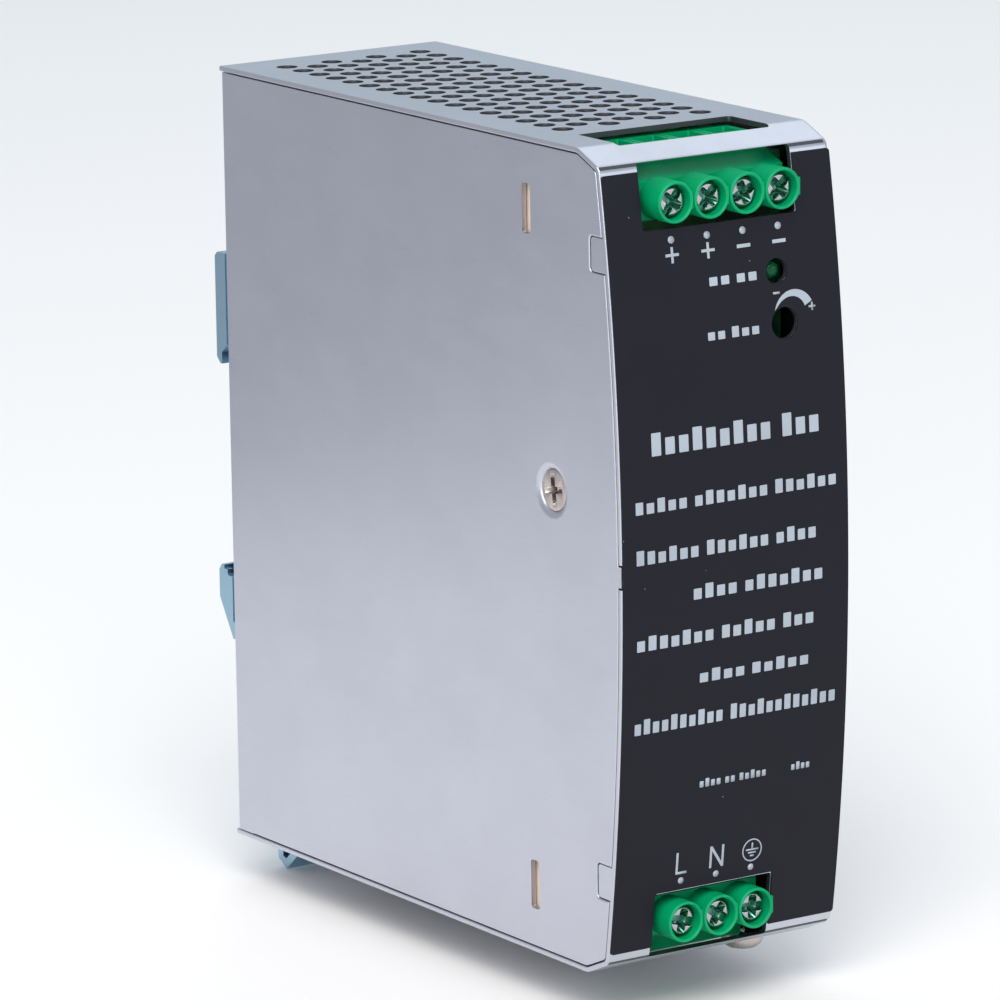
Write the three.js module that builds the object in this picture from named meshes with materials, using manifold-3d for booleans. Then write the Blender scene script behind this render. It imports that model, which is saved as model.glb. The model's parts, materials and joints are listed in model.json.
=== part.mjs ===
// DIN rail power supply: a folded sheet case with screw terminals, a spring latch for a
// 35 mm top-hat rail, and the circuit boards and components inside.
// Millimetres. +Z is up, the front faces -Y, and +X is to the right seen from the front.
// The origin is the middle of the face that sits against the rail.
import * as THREE from "three";
import { mergeVertices } from "three/addons/utils/BufferGeometryUtils.js";
import Module from "manifold-3d";

const wasm = await Module();
wasm.setup();

// ---------------------------------------------------------------- driving dimensions
// The case frame used below has y = 0 on the rear wall, z = 0 on the underside,
// and "depth" is the distance forward of the rear wall, so y = -depth.
const CASE_W = 41;
const CASE_H = 123.5;
const DEPTH_OVER_SEAT = 110.29; // from the rail seat to the face of the label
const CLIP_SHEET = 1.5; // the clip's steel, which holds the case off the rail
const LABEL_GAP = 0.05;
const LABEL_THICK = 0.2;
const SHEET = 0.8; // case sheet
const GAP = 0.3; // between neighbouring pieces
const FRONT = DEPTH_OVER_SEAT - CLIP_SHEET - LABEL_GAP - LABEL_THICK;
const MID_H = CASE_H / 2;
const HALF_W = CASE_W / 2;

const BOW_RADIUS = 386; // the front is bowed in side view
const BOW_STEPS = 12;
const BEVEL_START = 98.5; // depth at which the top starts to fall towards the front
const BEVEL_ANGLE = THREE.MathUtils.degToRad(23.2);

const RAIL_HEIGHT = 59.4; // middle of the rail above the underside
const RAIL_HALF = 17.5; // 35 mm rail
const LIP_OVERLAP = 1.2; // how far the hook and the latch reach over the rail's lips
const LIP_SLOT = 1.4; // takes the rail's 1 mm lip

// Rail clip: a fixed hook over the upper lip and a sliding latch under the lower one
const CLIP_HALF_W = 19.5;
const FLAT_HALF_W = 19; // the flat plates stay just inside the hook and the latch
const CHEEK = 1.2; // thickness of the bent sides
const CLIP_PLATE = [-CLIP_SHEET, -LABEL_GAP]; // depths of both clip plates, on the rear wall
const NOSE_FRONT = CLIP_SHEET + LIP_SLOT; // distances behind the case
const HOOK_REAR = NOSE_FRONT + CLIP_SHEET;
const HOOK_TOP = 93.5;
const HOOK_LOW = RAIL_HEIGHT + RAIL_HALF - LIP_OVERLAP;
const SEAT_TOP = HOOK_LOW - 0.5; // the rail seat ends here, and the plate above it is relieved
const SEAT_PROUD = 0.05;
const LATCH_REAR = 5.3;
const LATCH_TOP = RAIL_HEIGHT - RAIL_HALF + LIP_OVERLAP;
const LATCH_TRAVEL = 4;
const STRIP_HALF_W = 12;
const PULL_TAB_Z = -5.3;
const SPRING = { low: 10.1, high: 23.7, radius: 0.95, wire: 0.2, turns: 9, rear: 1.35 };
const LUG = { halfWidth: 1.4, rear: 2.5, thick: 0.8 }; // tongue of the rear wall that holds the spring
const RIVET_SHANK = 1.6;
const SUNK_HEAD = { radius: 2.7, depth: 0.9 }; // clip rivets are flush, to leave the rail seat flat
const CLIP_RIVETS = [["clip_rivet_left", -12, RAIL_HEIGHT], ["clip_rivet_right", 12, RAIL_HEIGHT]];
const LATCH_RIVETS = [["latch_rivet_left", -7.5, 22], ["latch_rivet_right", 7.5, 22]];

// Perforation: holes on a triangular grid, one column apart across the width
const HOLE_PITCH = 4.75;
const HOLE_RADIUS = 1.75;
const HOLE_COLUMNS = 7;
const HOLE_FIRST_X = -12.8;
const HOLE_SIDES = 6;
const TOP_VENTS = { z: CASE_H, firstDepth: 7.55, rows: 17 };
const BOTTOM_VENTS = { z: 0, firstDepth: 21.8, rows: 13 };

// Terminals
const POLE_PITCH = 6.35;
const POLE_X_OUT = 0.28; // middle of the output row
const POLE_X_IN = -2.25; // middle of the input row
const POLE_Z_OUT = 115.45;
const POLE_Z_IN = 7.7;
const TERMINAL_FACE = 102.2; // depth of the moulding's front face
const TERMINAL_BACK = 86;
const TOWER_FRONT = 107.3;
const TOWER_RADIUS = 3.1;
const TOWER_BORE = 2.6;
const WIRE_SIDE = 6.6; // from the screw axis to the wire-entry face
const RIDGE_SIDE = 4.5; // the moulding steps down in front of the wire entries
const RIDGE_FRONT = 98.2;
const BLIND_SIDE = 3.25; // from the screw axis to the closed face
const SCREW_FACE = 106.2;
const CLAMP_REST = 89; // depth of the open clamp's back
const CLAMP_LENGTH = 5.6;
const CLAMP_TRAVEL = 2.25;
const CLAMP_ROOM = 0.7; // left in front of the closed clamp
const CONTACT_DEPTH = 92.4;
const CONTACT_THICK = 0.8;
const SCREW = { shank: 1.35, head: 2.3, headLength: 2 };
const SCREW_PASSAGE = 1.7; // radius of the holes the shank runs through

// Cut-outs in the front, measured on the case frame
const OUT_WINDOW = { left: -13.9, right: 13.3, low: 111.35, high: 121.2 };
const IN_WINDOW = { left: -13.1, right: 8.1, low: 2.3, high: 12.15 };
const WIRE_WINDOW = { rear: 89.05, front: 99.3 };
const LED_X = 9;
const LED_Z = 103.2;
const LED_HOLE = 1.8;
const TRIM_X = 9.9;
const TRIM_Z = 95.5;
const TRIM_HOLE = 2.25;

// Side screw, slots and bent tabs
const SIDE_SCREW = { depth: 90.8, z: 71.6, head: 3.15, dimple: 3.9 };
const SLOT = { depth: 84, width: 2.2, height: 7.5, zs: [112.8, 10.5] };
const TAB = { notchDepth: 101, depth: 101.9, height: 4.9, zs: [108.4, 14.8], notchHeight: 5.7 };
const KEY = { z: 61.65, height: 3.1 };
const BOTTOM_SCREW = { x: 11.3, depth: 93.5, head: 3.2, height: 2.5 };

// Boards
const BOARD = 1.6;
const MAIN_BOARD = { left: 14, rear: 4, front: 98.5, low: 4, high: 119.5 };
const PART_BASE = MAIN_BOARD.left - GAP; // components stand on the board and reach left
const TERMINAL_BOARD = { rear: 84.1, front: 85.7, low: 6.5, high: 5.9 };
const STANDOFFS = [["standoff_lower", 9, 7.5], ["standoff_upper", 9, 116]];

const TRANSFORMER = { depth: 40, z: 62, half: 14, tall: 31, plate: 3.5, post: 6, leg: 3.2 };

// Facets round a turned piece
const FINE = 20;
const MEDIUM = 16;
const COARSE = 12;
const PASSAGE_SIDES = 8;

// ---------------------------------------------------------------- materials
const finish = (color, roughness, metalness) =>
  new THREE.MeshStandardMaterial({ color, roughness, metalness });
const caseSheet = () => finish(0xaab4c4, 0.45, 0.85);
const clipSteel = () => finish(0x8fb0c8, 0.4, 0.8);
const screwSteel = () => finish(0xb4aaa6, 0.35, 0.9);
const brightSteel = () => finish(0xc9ced2, 0.25, 1);
const terminalGreen = () => finish(0x00965f, 0.5, 0);
const boardGreen = () => finish(0x1f5a38, 0.6, 0);
const blackPlastic = () => finish(0x26262b, 0.5, 0);

// ---------------------------------------------------------------- geometry helpers
function solidOf(geometry) {
  const bare = geometry.clone();
  bare.deleteAttribute("normal");
  bare.deleteAttribute("uv");
  const merged = mergeVertices(bare, 1e-4);
  return new wasm.Manifold(
    new wasm.Mesh({
      numProp: 3,
      vertProperties: merged.attributes.position.array,
      triVerts: new Uint32Array(merged.index.array),
    }),
  );
}

function geometryOf(solid) {
  const { vertProperties, triVerts } = solid.getMesh();
  const geometry = new THREE.BufferGeometry();
  geometry.setAttribute("position", new THREE.BufferAttribute(vertProperties, 3));
  geometry.setIndex(new THREE.BufferAttribute(triVerts, 1));
  geometry.computeVertexNormals();
  return geometry;
}

function join(...geometries) {
  return geometryOf(geometries.map(solidOf).reduce((sum, next) => sum.add(next)));
}

function cut(geometry, ...tools) {
  return geometryOf(tools.map(solidOf).reduce((left, tool) => left.subtract(tool), solidOf(geometry)));
}

// A box between two x, two depths and two heights of the case frame.
function box(x0, x1, depth0, depth1, z0, z1) {
  const geometry = new THREE.BoxGeometry(x1 - x0, depth1 - depth0, z1 - z0);
  return geometry.translate((x0 + x1) / 2, -(depth0 + depth1) / 2, (z0 + z1) / 2);
}

// An outline in (depth, z) made into a plate between two x.
function sidePlate(points, x0, x1) {
  const shape = new THREE.Shape(points);
  const geometry = new THREE.ExtrudeGeometry(shape, { depth: x1 - x0, bevelEnabled: false });
  const toCase = new THREE.Matrix4().makeBasis(
    new THREE.Vector3(0, -1, 0),
    new THREE.Vector3(0, 0, 1),
    new THREE.Vector3(-1, 0, 0),
  );
  return geometry.applyMatrix4(toCase).translate(x1, 0, 0);
}

// A turned piece: profile pairs are [radius, distance along the axis].
function turned(profile, sides) {
  const points = profile.map(([radius, along]) => new THREE.Vector2(radius, along));
  return new THREE.LatheGeometry(points, sides);
}

// Turned about an axis along the case's depth: distances are depths.
const turnedAlongDepth = (profile, sides, x, z) =>
  turned(profile, sides).rotateX(Math.PI).translate(x, 0, z);

// Turned about an axis along the width: distances are x.
const turnedAlongWidth = (profile, sides, depth, z) =>
  turned(profile, sides).rotateZ(-Math.PI / 2).translate(0, -depth, z);

// Turned about an upright axis: distances are z.
const turnedUpright = (profile, sides, x, depth) =>
  turned(profile, sides).rotateX(Math.PI / 2).translate(x, -depth, 0);

const rod = (radius, from, to) => [[0, from], [radius, from], [radius, to], [0, to]];

const v2 = (x, y) => new THREE.Vector2(x, y);

const caseGroup = new THREE.Group();
caseGroup.position.set(0, -CLIP_SHEET, -RAIL_HEIGHT);

function add(name, geometry, material, parent = caseGroup) {
  const mesh = new THREE.Mesh(geometry, material);
  mesh.name = name;
  parent.add(mesh);
  return mesh;
}

// ---------------------------------------------------------------- case outline
const bowCentre = v2(FRONT - BOW_RADIUS, MID_H);

// Points of the bowed front, inset from its outer face, between two heights.
function bowArc(inset, zHigh, zLow) {
  const radius = BOW_RADIUS - inset;
  const high = Math.asin((zHigh - MID_H) / radius);
  const low = Math.asin((zLow - MID_H) / radius);
  const points = [];
  for (let step = 0; step <= BOW_STEPS; step++) {
    const angle = high + ((low - high) * step) / BOW_STEPS;
    points.push(v2(bowCentre.x + radius * Math.cos(angle), MID_H + radius * Math.sin(angle)));
  }
  return points;
}

// The case in side view, inset all round except at the open rear.
function caseOutline(inset) {
  const start = v2(BEVEL_START - inset * Math.tan(BEVEL_ANGLE / 2), CASE_H - inset);
  const slope = v2(Math.cos(BEVEL_ANGLE), -Math.sin(BEVEL_ANGLE));
  const fromCentre = start.clone().sub(bowCentre);
  const along = fromCentre.dot(slope);
  const reach = Math.sqrt(along ** 2 - fromCentre.lengthSq() + (BOW_RADIUS - inset) ** 2) - along;
  const bevelEnd = start.clone().addScaledVector(slope, reach);
  return [
    v2(0, CASE_H - inset),
    start,
    ...bowArc(inset, bevelEnd.y, CASE_H - bevelEnd.y),
    v2(start.x, inset),
    v2(0, inset),
  ];
}

const bowDepth = (z) => bowCentre.x + Math.sqrt(BOW_RADIUS ** 2 - (z - MID_H) ** 2);

// ---------------------------------------------------------------- case
// Hexagonal cutters of the vent pattern through a sheet at height z.
function perforation({ z, firstDepth, rows }) {
  const cutters = [];
  for (let column = 0; column < HOLE_COLUMNS; column++) {
    const odd = column % 2;
    const x = HOLE_FIRST_X + column * HOLE_PITCH * Math.sin(Math.PI / 3);
    for (let row = 0; row < rows - odd; row++) {
      const depth = firstDepth + (row + odd / 2) * HOLE_PITCH;
      cutters.push(turnedUpright(rod(HOLE_RADIUS, z - SHEET, z + SHEET), HOLE_SIDES, x, depth));
    }
  }
  return join(...cutters);
}

function chassisShell() {
  const strip = sidePlate([...caseOutline(0), ...caseOutline(SHEET).reverse()], -HALF_W, HALF_W);
  const wall = sidePlate(caseOutline(0), HALF_W - SHEET, HALF_W);
  const tabs = TAB.zs.map((z) => {
    const low = z - TAB.height / 2;
    const high = z + TAB.height / 2;
    const root = Math.min(bowDepth(low), bowDepth(high)) - SHEET / 8;
    return box(-HALF_W, -HALF_W + SHEET, TAB.depth, root, low, high);
  });
  const past = SHEET + GAP;
  const { left, right, low, high } = OUT_WINDOW;
  const bevelInside = BEVEL_START + 3;
  const windows = [
    box(left, right, bevelInside, FRONT + 1, low, high),
    box(IN_WINDOW.left, IN_WINDOW.right, bevelInside, FRONT + 1, IN_WINDOW.low, IN_WINDOW.high),
    box(left, right, WIRE_WINDOW.rear, WIRE_WINDOW.front, CASE_H - 2 * SHEET, CASE_H + 1),
    box(IN_WINDOW.left, IN_WINDOW.right - GAP, WIRE_WINDOW.rear, WIRE_WINDOW.front, -1, 2 * SHEET),
  ];
  const holes = [
    turnedAlongDepth(rod(LED_HOLE, FRONT - 8, FRONT + 1), MEDIUM, LED_X, LED_Z),
    turnedAlongDepth(rod(TRIM_HOLE, FRONT - 8, FRONT + 1), MEDIUM, TRIM_X, TRIM_Z),
    turnedUpright(rod(1.8, -1, 2), COARSE, BOTTOM_SCREW.x, BOTTOM_SCREW.depth),
  ];
  const keyNotch = box(
    -HALF_W - 1, -HALF_W + past, FRONT - 2 * SHEET, FRONT + 1,
    KEY.z - KEY.height / 2 - GAP, KEY.z + KEY.height / 2 + GAP,
  );
  return cut(
    join(strip, wall, ...tabs),
    ...windows,
    ...holes,
    keyNotch,
    perforation(TOP_VENTS),
    perforation(BOTTOM_VENTS),
  );
}

function sideCover() {
  const inside = -HALF_W + SHEET;
  const past = SHEET + GAP;
  const plate = sidePlate(caseOutline(past), -HALF_W, inside);
  const rearWall = box(-HALF_W, HALF_W - past, 0, SHEET, past, CASE_H - past);
  const key = box(
    -HALF_W, inside, FRONT - 3, FRONT - LABEL_GAP,
    KEY.z - KEY.height / 2, KEY.z + KEY.height / 2,
  );
  const { depth, z, dimple } = SIDE_SCREW;
  const boss = turnedAlongWidth(
    [[0, -HALF_W + 0.1], [dimple + 0.3, -HALF_W + 0.1], [2.8, -18.3], [0, -18.3]], FINE, depth, z,
  );
  const dish = turnedAlongWidth(
    [[0, -HALF_W - 0.1], [dimple, -HALF_W - 0.1], [2.4, -18.9], [2, -18], [0, -18]], FINE, depth, z,
  );
  const notches = TAB.zs.map((at) =>
    box(
      -HALF_W - 1, inside + 1, TAB.notchDepth, FRONT + 1,
      at - TAB.notchHeight / 2, at + TAB.notchHeight / 2,
    ),
  );
  const slots = SLOT.zs.map((at) =>
    box(
      -HALF_W - 1, inside + 1, SLOT.depth, SLOT.depth + SLOT.width,
      at - SLOT.height / 2, at + SLOT.height / 2,
    ),
  );
  const rivetHoles = [...CLIP_RIVETS, ...LATCH_RIVETS].map(([, x, at]) =>
    turnedAlongDepth(rod(RIVET_SHANK + GAP, -1, SHEET + 1), COARSE, x, at),
  );
  const lugTop = SPRING.low - GAP;
  const lug = box(-LUG.halfWidth, LUG.halfWidth, -LUG.rear, SHEET / 4, lugTop - LUG.thick, lugTop);
  const whole = join(plate, rearWall, key, boss);
  return join(cut(whole, dish, ...notches, ...slots, ...rivetHoles), lug);
}

function frontLabel() {
  const top = 120;
  const bottom = 3.9;
  const skin = sidePlate(
    [
      ...bowArc(-LABEL_GAP, top, bottom),
      ...bowArc(-LABEL_GAP - LABEL_THICK, top, bottom).reverse(),
    ],
    -HALF_W + 0.2,
    HALF_W - 0.3,
  );
  const margin = 0.3;
  return cut(
    skin,
    box(OUT_WINDOW.left - 0.1, OUT_WINDOW.right + 0.5, 100, 112, OUT_WINDOW.low - 0.1, CASE_H),
    box(IN_WINDOW.left - margin, IN_WINDOW.right + margin, 100, 112, 0, IN_WINDOW.high + margin),
    turnedAlongDepth(rod(LED_HOLE + 0.1, FRONT - 8, FRONT + 1), MEDIUM, LED_X, LED_Z),
    turnedAlongDepth(rod(TRIM_HOLE + 0.1, FRONT - 8, FRONT + 1), MEDIUM, TRIM_X, TRIM_Z),
  );
}

// A cross recess: two crossed blades, `sunk` deep on each side of the screw's face.
// It is made for a screw whose axis is along the depth, then turned for the others.
const recess = ({ blade, reach, sunk }) =>
  join(
    new THREE.BoxGeometry(reach, sunk, blade),
    new THREE.BoxGeometry(blade, sunk, reach),
  );

function sideCoverScrew() {
  const { depth, z, head } = SIDE_SCREW;
  const face = -HALF_W + 0.35;
  const body = turnedAlongWidth(
    [[0, face], [head, face], [head, face + 0.1], [1.55, face + 1.6], [1.55, -11], [0, -11]],
    FINE, depth, z,
  );
  const cross = recess({ blade: 0.9, reach: 3.6, sunk: 2.2 }).rotateZ(Math.PI / 2);
  return cut(body, cross.translate(face, -depth, z));
}

const coverPillar = () =>
  turnedAlongWidth(
    [[0, -8], [1.85, -8], [1.85, -18], [3.6, -18], [3.6, HALF_W - SHEET - GAP], [0, HALF_W - SHEET - GAP]],
    6, SIDE_SCREW.depth, SIDE_SCREW.z,
  );

function bottomScrew() {
  const { x, depth, head, height } = BOTTOM_SCREW;
  const body = turnedUpright(
    [
      [0, -height], [head - 1, -height], [head, -height + 1], [head, -LABEL_GAP],
      [1.5, -LABEL_GAP], [1.5, 4], [0, 4],
    ],
    FINE, x, depth,
  );
  const cross = recess({ blade: 0.9, reach: 3.4, sunk: 2.4 }).rotateX(Math.PI / 2);
  return cut(body, cross.translate(x, -depth, -height));
}

const earthBracket = () =>
  cut(
    join(
      box(8.4, PART_BASE, 88, 98, SHEET + GAP, 3.3),
      box(PART_BASE - 1, PART_BASE, 88, 98, 3, 12),
    ),
    turnedUpright(rod(1.8, 0, 5), COARSE, BOTTOM_SCREW.x, BOTTOM_SCREW.depth),
  );

// ---------------------------------------------------------------- rail clip
// Mirrored side cheeks from an outline in (distance behind the case, z).
const cheeks = (points) => {
  const outline = points.map(([rear, z]) => v2(-rear, z));
  return [
    sidePlate(outline, -CLIP_HALF_W, -CLIP_HALF_W + CHEEK),
    sidePlate(outline, CLIP_HALF_W - CHEEK, CLIP_HALF_W),
  ];
};

function clipBase() {
  const hookRound = 0.7;
  const hook = sidePlate(
    [
      v2(-CLIP_SHEET + 0.1, HOOK_TOP),
      v2(-HOOK_REAR + hookRound, HOOK_TOP),
      v2(-HOOK_REAR, HOOK_TOP - hookRound),
      v2(-HOOK_REAR, HOOK_LOW + 1),
      v2(-HOOK_REAR + 1, HOOK_LOW),
      v2(-NOSE_FRONT, HOOK_LOW),
      v2(-NOSE_FRONT, HOOK_TOP - CLIP_SHEET),
      v2(-CLIP_SHEET + 0.1, HOOK_TOP - CLIP_SHEET),
    ],
    -CLIP_HALF_W,
    CLIP_HALF_W,
  );
  const sides = cheeks([
    [CLIP_SHEET - 0.1, HOOK_TOP - 0.5],
    [NOSE_FRONT + 0.5, HOOK_TOP - 0.5],
    [NOSE_FRONT + 0.5, HOOK_LOW + 1.4],
    [CLIP_SHEET - 0.1, HOOK_LOW + 3.2],
  ]);
  const [plateRear, plateFront] = CLIP_PLATE;
  const seat = box(-FLAT_HALF_W, FLAT_HALF_W, plateRear, plateFront, LATCH_TOP + 1, SEAT_TOP);
  const plate = box(
    -FLAT_HALF_W, FLAT_HALF_W, plateRear + SEAT_PROUD, plateFront, SEAT_TOP - 1, HOOK_TOP,
  );
  const rivetHoles = CLIP_RIVETS.map(([, x, z]) =>
    turnedAlongDepth(
      [
        [0, -CLIP_SHEET], [SUNK_HEAD.radius + GAP, -CLIP_SHEET],
        [RIVET_SHANK + GAP, -CLIP_SHEET + SUNK_HEAD.depth], [RIVET_SHANK + GAP, 1], [0, 1],
      ],
      COARSE, x, z,
    ),
  );
  return cut(join(seat, plate, hook, ...sides), ...rivetHoles);
}

function clipLatch() {
  const rampLow = 31.4;
  const rampHigh = 37.7;
  const wall = CLIP_SHEET;
  const shoulder = 27;
  const nose = sidePlate(
    [
      v2(-0.3, rampLow),
      v2(-CLIP_SHEET, rampLow),
      v2(-LATCH_REAR, rampHigh),
      v2(-LATCH_REAR, LATCH_TOP - 1),
      v2(-LATCH_REAR + 0.8, LATCH_TOP),
      v2(-LATCH_REAR + wall, LATCH_TOP),
      v2(-LATCH_REAR + wall, rampHigh + 0.5),
      v2(-CLIP_SHEET, rampLow + 2.8),
      v2(-0.3, rampLow + 2.8),
    ],
    -CLIP_HALF_W,
    CLIP_HALF_W,
  );
  const sides = cheeks([
    [CLIP_SHEET - 0.1, rampLow + 0.5],
    [LATCH_REAR - 0.5, rampHigh],
    [LATCH_REAR - 0.5, LATCH_TOP - 0.6],
    [NOSE_FRONT, LATCH_TOP - 0.6],
    [NOSE_FRONT, LATCH_TOP - LIP_OVERLAP - GAP],
    [CLIP_SHEET - 0.1, LATCH_TOP - LIP_OVERLAP - GAP],
  ]);
  const head = box(-FLAT_HALF_W, FLAT_HALF_W, ...CLIP_PLATE, shoulder, LATCH_TOP);
  const strip = box(-STRIP_HALF_W, STRIP_HALF_W, ...CLIP_PLATE, PULL_TAB_Z, shoulder + 1);
  const pullTab = sidePlate(
    [
      v2(CLIP_PLATE[0], PULL_TAB_Z + 0.2),
      v2(CLIP_PLATE[1], PULL_TAB_Z + 0.2),
      v2(0.9, PULL_TAB_Z - 0.1),
      v2(3.4, PULL_TAB_Z + 2.1),
      v2(4.3, PULL_TAB_Z + 1),
      v2(1, PULL_TAB_Z - 1.8),
      v2(CLIP_PLATE[0], PULL_TAB_Z - 0.4),
    ],
    -STRIP_HALF_W,
    STRIP_HALF_W,
  );
  const guideSlots = LATCH_RIVETS.map(([, x, z]) =>
    box(x - 1.9, x + 1.9, -3, 1, z - 1.9, z + LATCH_TRAVEL + 1.9),
  );
  const springWindow = box(-2.2, 2.2, -3, 1, SPRING.low - 2.1, SPRING.high + GAP);
  return cut(join(head, nose, ...sides, strip, pullTab), ...guideSlots, springWindow);
}

// The head on the rail side: sunk flush in the fixed plate, or domed over the sliding one.
const sunkHead = [
  [0, -CLIP_SHEET + LABEL_GAP], [SUNK_HEAD.radius, -CLIP_SHEET + LABEL_GAP],
  [RIVET_SHANK, -CLIP_SHEET + SUNK_HEAD.depth],
];
const domedHead = [
  [0, -CLIP_SHEET - 1.2], [2.2, -CLIP_SHEET - 1.2], [2.9, -CLIP_SHEET - GAP],
  [RIVET_SHANK, -CLIP_SHEET - GAP],
];

// Both kinds are closed over the inside of the rear wall.
const rivet = (head, x, z) =>
  turnedAlongDepth(
    [
      ...head, [RIVET_SHANK, SHEET + GAP], [2.7, SHEET + GAP], [2.7, SHEET + 1.2], [0, SHEET + 1.2],
    ],
    COARSE, x, z,
  );

class Helix extends THREE.Curve {
  getPoint(t) {
    const angle = 2 * Math.PI * SPRING.turns * t;
    const z = THREE.MathUtils.lerp(SPRING.low + SPRING.wire, SPRING.high - SPRING.wire, t);
    return new THREE.Vector3(
      SPRING.radius * Math.cos(angle), SPRING.rear + SPRING.radius * Math.sin(angle), z,
    );
  }
}

function latchSpring() {
  const wire = new THREE.Shape();
  wire.absarc(0, 0, SPRING.wire, 0, 2 * Math.PI);
  return new THREE.ExtrudeGeometry(wire, {
    steps: SPRING.turns * 8,
    curveSegments: 2,
    extrudePath: new Helix(),
  });
}

// ---------------------------------------------------------------- terminals
const polesAround = (middle, count) =>
  Array.from({ length: count }, (_, i) => middle + (i - (count - 1) / 2) * POLE_PITCH);

// wire is +1 where the wires enter from above and -1 where they enter from below.
const OUTPUT = { xs: polesAround(POLE_X_OUT, 4), z: POLE_Z_OUT, wire: 1 };
const INPUT = { xs: polesAround(POLE_X_IN, 3), z: POLE_Z_IN, wire: -1 };

// A box in heights measured from the screw axis towards the wire side.
function poleBox({ z, wire }, x, halfWidth, depth0, depth1, from, to) {
  const ends = [z + wire * from, z + wire * to].sort((a, b) => a - b);
  return box(x - halfWidth, x + halfWidth, depth0, depth1, ...ends);
}

function terminalBody(row) {
  const { xs, z, wire } = row;
  const side = (depth, height) => v2(depth, z + wire * height);
  const body = sidePlate(
    [
      side(TERMINAL_BACK, -BLIND_SIDE),
      side(TERMINAL_FACE, -BLIND_SIDE),
      side(TERMINAL_FACE, 2.75),
      side(RIDGE_FRONT, RIDGE_SIDE),
      side(RIDGE_FRONT, WIRE_SIDE),
      side(TERMINAL_BACK, WIRE_SIDE),
    ],
    xs[0] - 3.65,
    xs.at(-1) + 3.65,
  );
  const headRoom = SCREW_FACE - SCREW.headLength - GAP;
  const clampRoom = CLAMP_REST + CLAMP_LENGTH + CLAMP_TRAVEL + CLAMP_ROOM;
  const added = xs.flatMap((x) => [
    turnedAlongDepth(rod(TOWER_RADIUS, TERMINAL_FACE - 1, TOWER_FRONT), MEDIUM, x, z),
    box(x + 2.8, x + 3.3, TERMINAL_FACE - 0.5, TOWER_FRONT - 0.4, z - 1.35, z + 1.35),
  ]);
  const removed = xs.flatMap((x) => [
    turnedAlongDepth(rod(TOWER_BORE, headRoom, TOWER_FRONT + 1), MEDIUM, x, z),
    turnedAlongDepth(rod(SCREW_PASSAGE, clampRoom - 1, headRoom + 1), PASSAGE_SIDES, x, z),
    poleBox(row, x, 2.7, CLAMP_REST - GAP, clampRoom, -2.85, 2.8),
    poleBox(row, x, 2.3, CLAMP_REST + 0.2, CLAMP_REST + 4.5, 2.5, WIRE_SIDE + 1),
    poleBox(row, x, 1.5, TERMINAL_BACK - 1, CLAMP_REST, -3, -1.95),
  ]);
  return cut(join(body, ...added), ...removed);
}

// A rising clamp: a frame that the screw draws forward, so it grips the wire on the contact.
function wireClamp(row, x) {
  const back = CLAMP_REST;
  const front = CLAMP_REST + CLAMP_LENGTH;
  return cut(
    poleBox(row, x, 2.35, back, front, -1.9, 2.5),
    poleBox(row, x, 1.65, back + 0.8, front - 1, -3, 4),
    turnedAlongDepth(rod(SCREW_PASSAGE, front - 2, front + 1), PASSAGE_SIDES, x, row.z),
  );
}

function contact(row, x) {
  const side = (depth, height) => v2(depth, row.z + row.wire * height);
  const front = CONTACT_DEPTH + CONTACT_THICK;
  const pin = TERMINAL_BOARD.rear - 1.2;
  return sidePlate(
    [
      side(CONTACT_DEPTH, 2), side(front, 2), side(front, -2.8),
      side(pin, -2.8), side(pin, -2.2), side(CONTACT_DEPTH, -2.2),
    ],
    x - 1.2,
    x + 1.2,
  );
}

function terminalScrew(row, x) {
  const { shank, head, headLength } = SCREW;
  const seat = SCREW_FACE - headLength;
  const tip = CONTACT_DEPTH + CONTACT_THICK + GAP;
  const body = turnedAlongDepth(
    [
      [0, tip], [shank, tip], [shank, seat], [head, seat],
      [head, SCREW_FACE - 0.3], [head - 0.3, SCREW_FACE], [0, SCREW_FACE],
    ],
    COARSE, x, row.z,
  );
  const cross = recess({ blade: 0.8, reach: 3.2, sunk: 2 });
  return cut(body, cross.translate(x, -SCREW_FACE, row.z));
}

function terminalBoard(row, x0) {
  const { rear, front, low, high } = TERMINAL_BOARD;
  const board = poleBox(row, (x0 + PART_BASE) / 2, (PART_BASE - x0) / 2, rear, front, -low, high);
  const pinHoles = row.xs.map((x) => poleBox(row, x, 1.5, rear - 1, front + 1, -3.1, -1.9));
  return cut(board, ...pinHoles);
}

// ---------------------------------------------------------------- boards and supports
function mainBoard() {
  const { left, rear, front, low, high } = MAIN_BOARD;
  const holes = STANDOFFS.map(([, depth, z]) =>
    turnedAlongWidth(rod(1.6, left - 1, left + BOARD + 1), COARSE, depth, z),
  );
  const pillarHole = turnedAlongWidth(
    rod(4.3, left - 1, left + BOARD + 1), MEDIUM, SIDE_SCREW.depth, SIDE_SCREW.z,
  );
  return cut(box(left, left + BOARD, rear, front, low, high), pillarHole, ...holes);
}

const standoff = (depth, z) => {
  const { left } = MAIN_BOARD;
  const far = left + BOARD + GAP;
  return turnedAlongWidth(
    [
      [0, left - 2.2], [0.9, left - 2.2], [1.9, left - GAP], [1.3, left - GAP],
      [1.3, far], [2.8, far], [2.8, HALF_W - SHEET - GAP], [0, HALF_W - SHEET - GAP],
    ],
    COARSE, depth, z,
  );
};

const insulationSheet = () =>
  cut(
    box(-HALF_W + SHEET + GAP, -HALF_W + SHEET + 2 * GAP, 2, 98, 2, 121.5),
    turnedAlongWidth(rod(4.6, -HALF_W, -15), MEDIUM, SIDE_SCREW.depth, SIDE_SCREW.z),
  );

function trimmerBody() {
  const half = 3.3;
  return cut(
    box(TRIM_X - half, PART_BASE, 90.5, 97, TRIM_Z - half, TRIM_Z + half),
    turnedAlongDepth(rod(1.85, 96, 98), COARSE, TRIM_X, TRIM_Z),
  );
}

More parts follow.
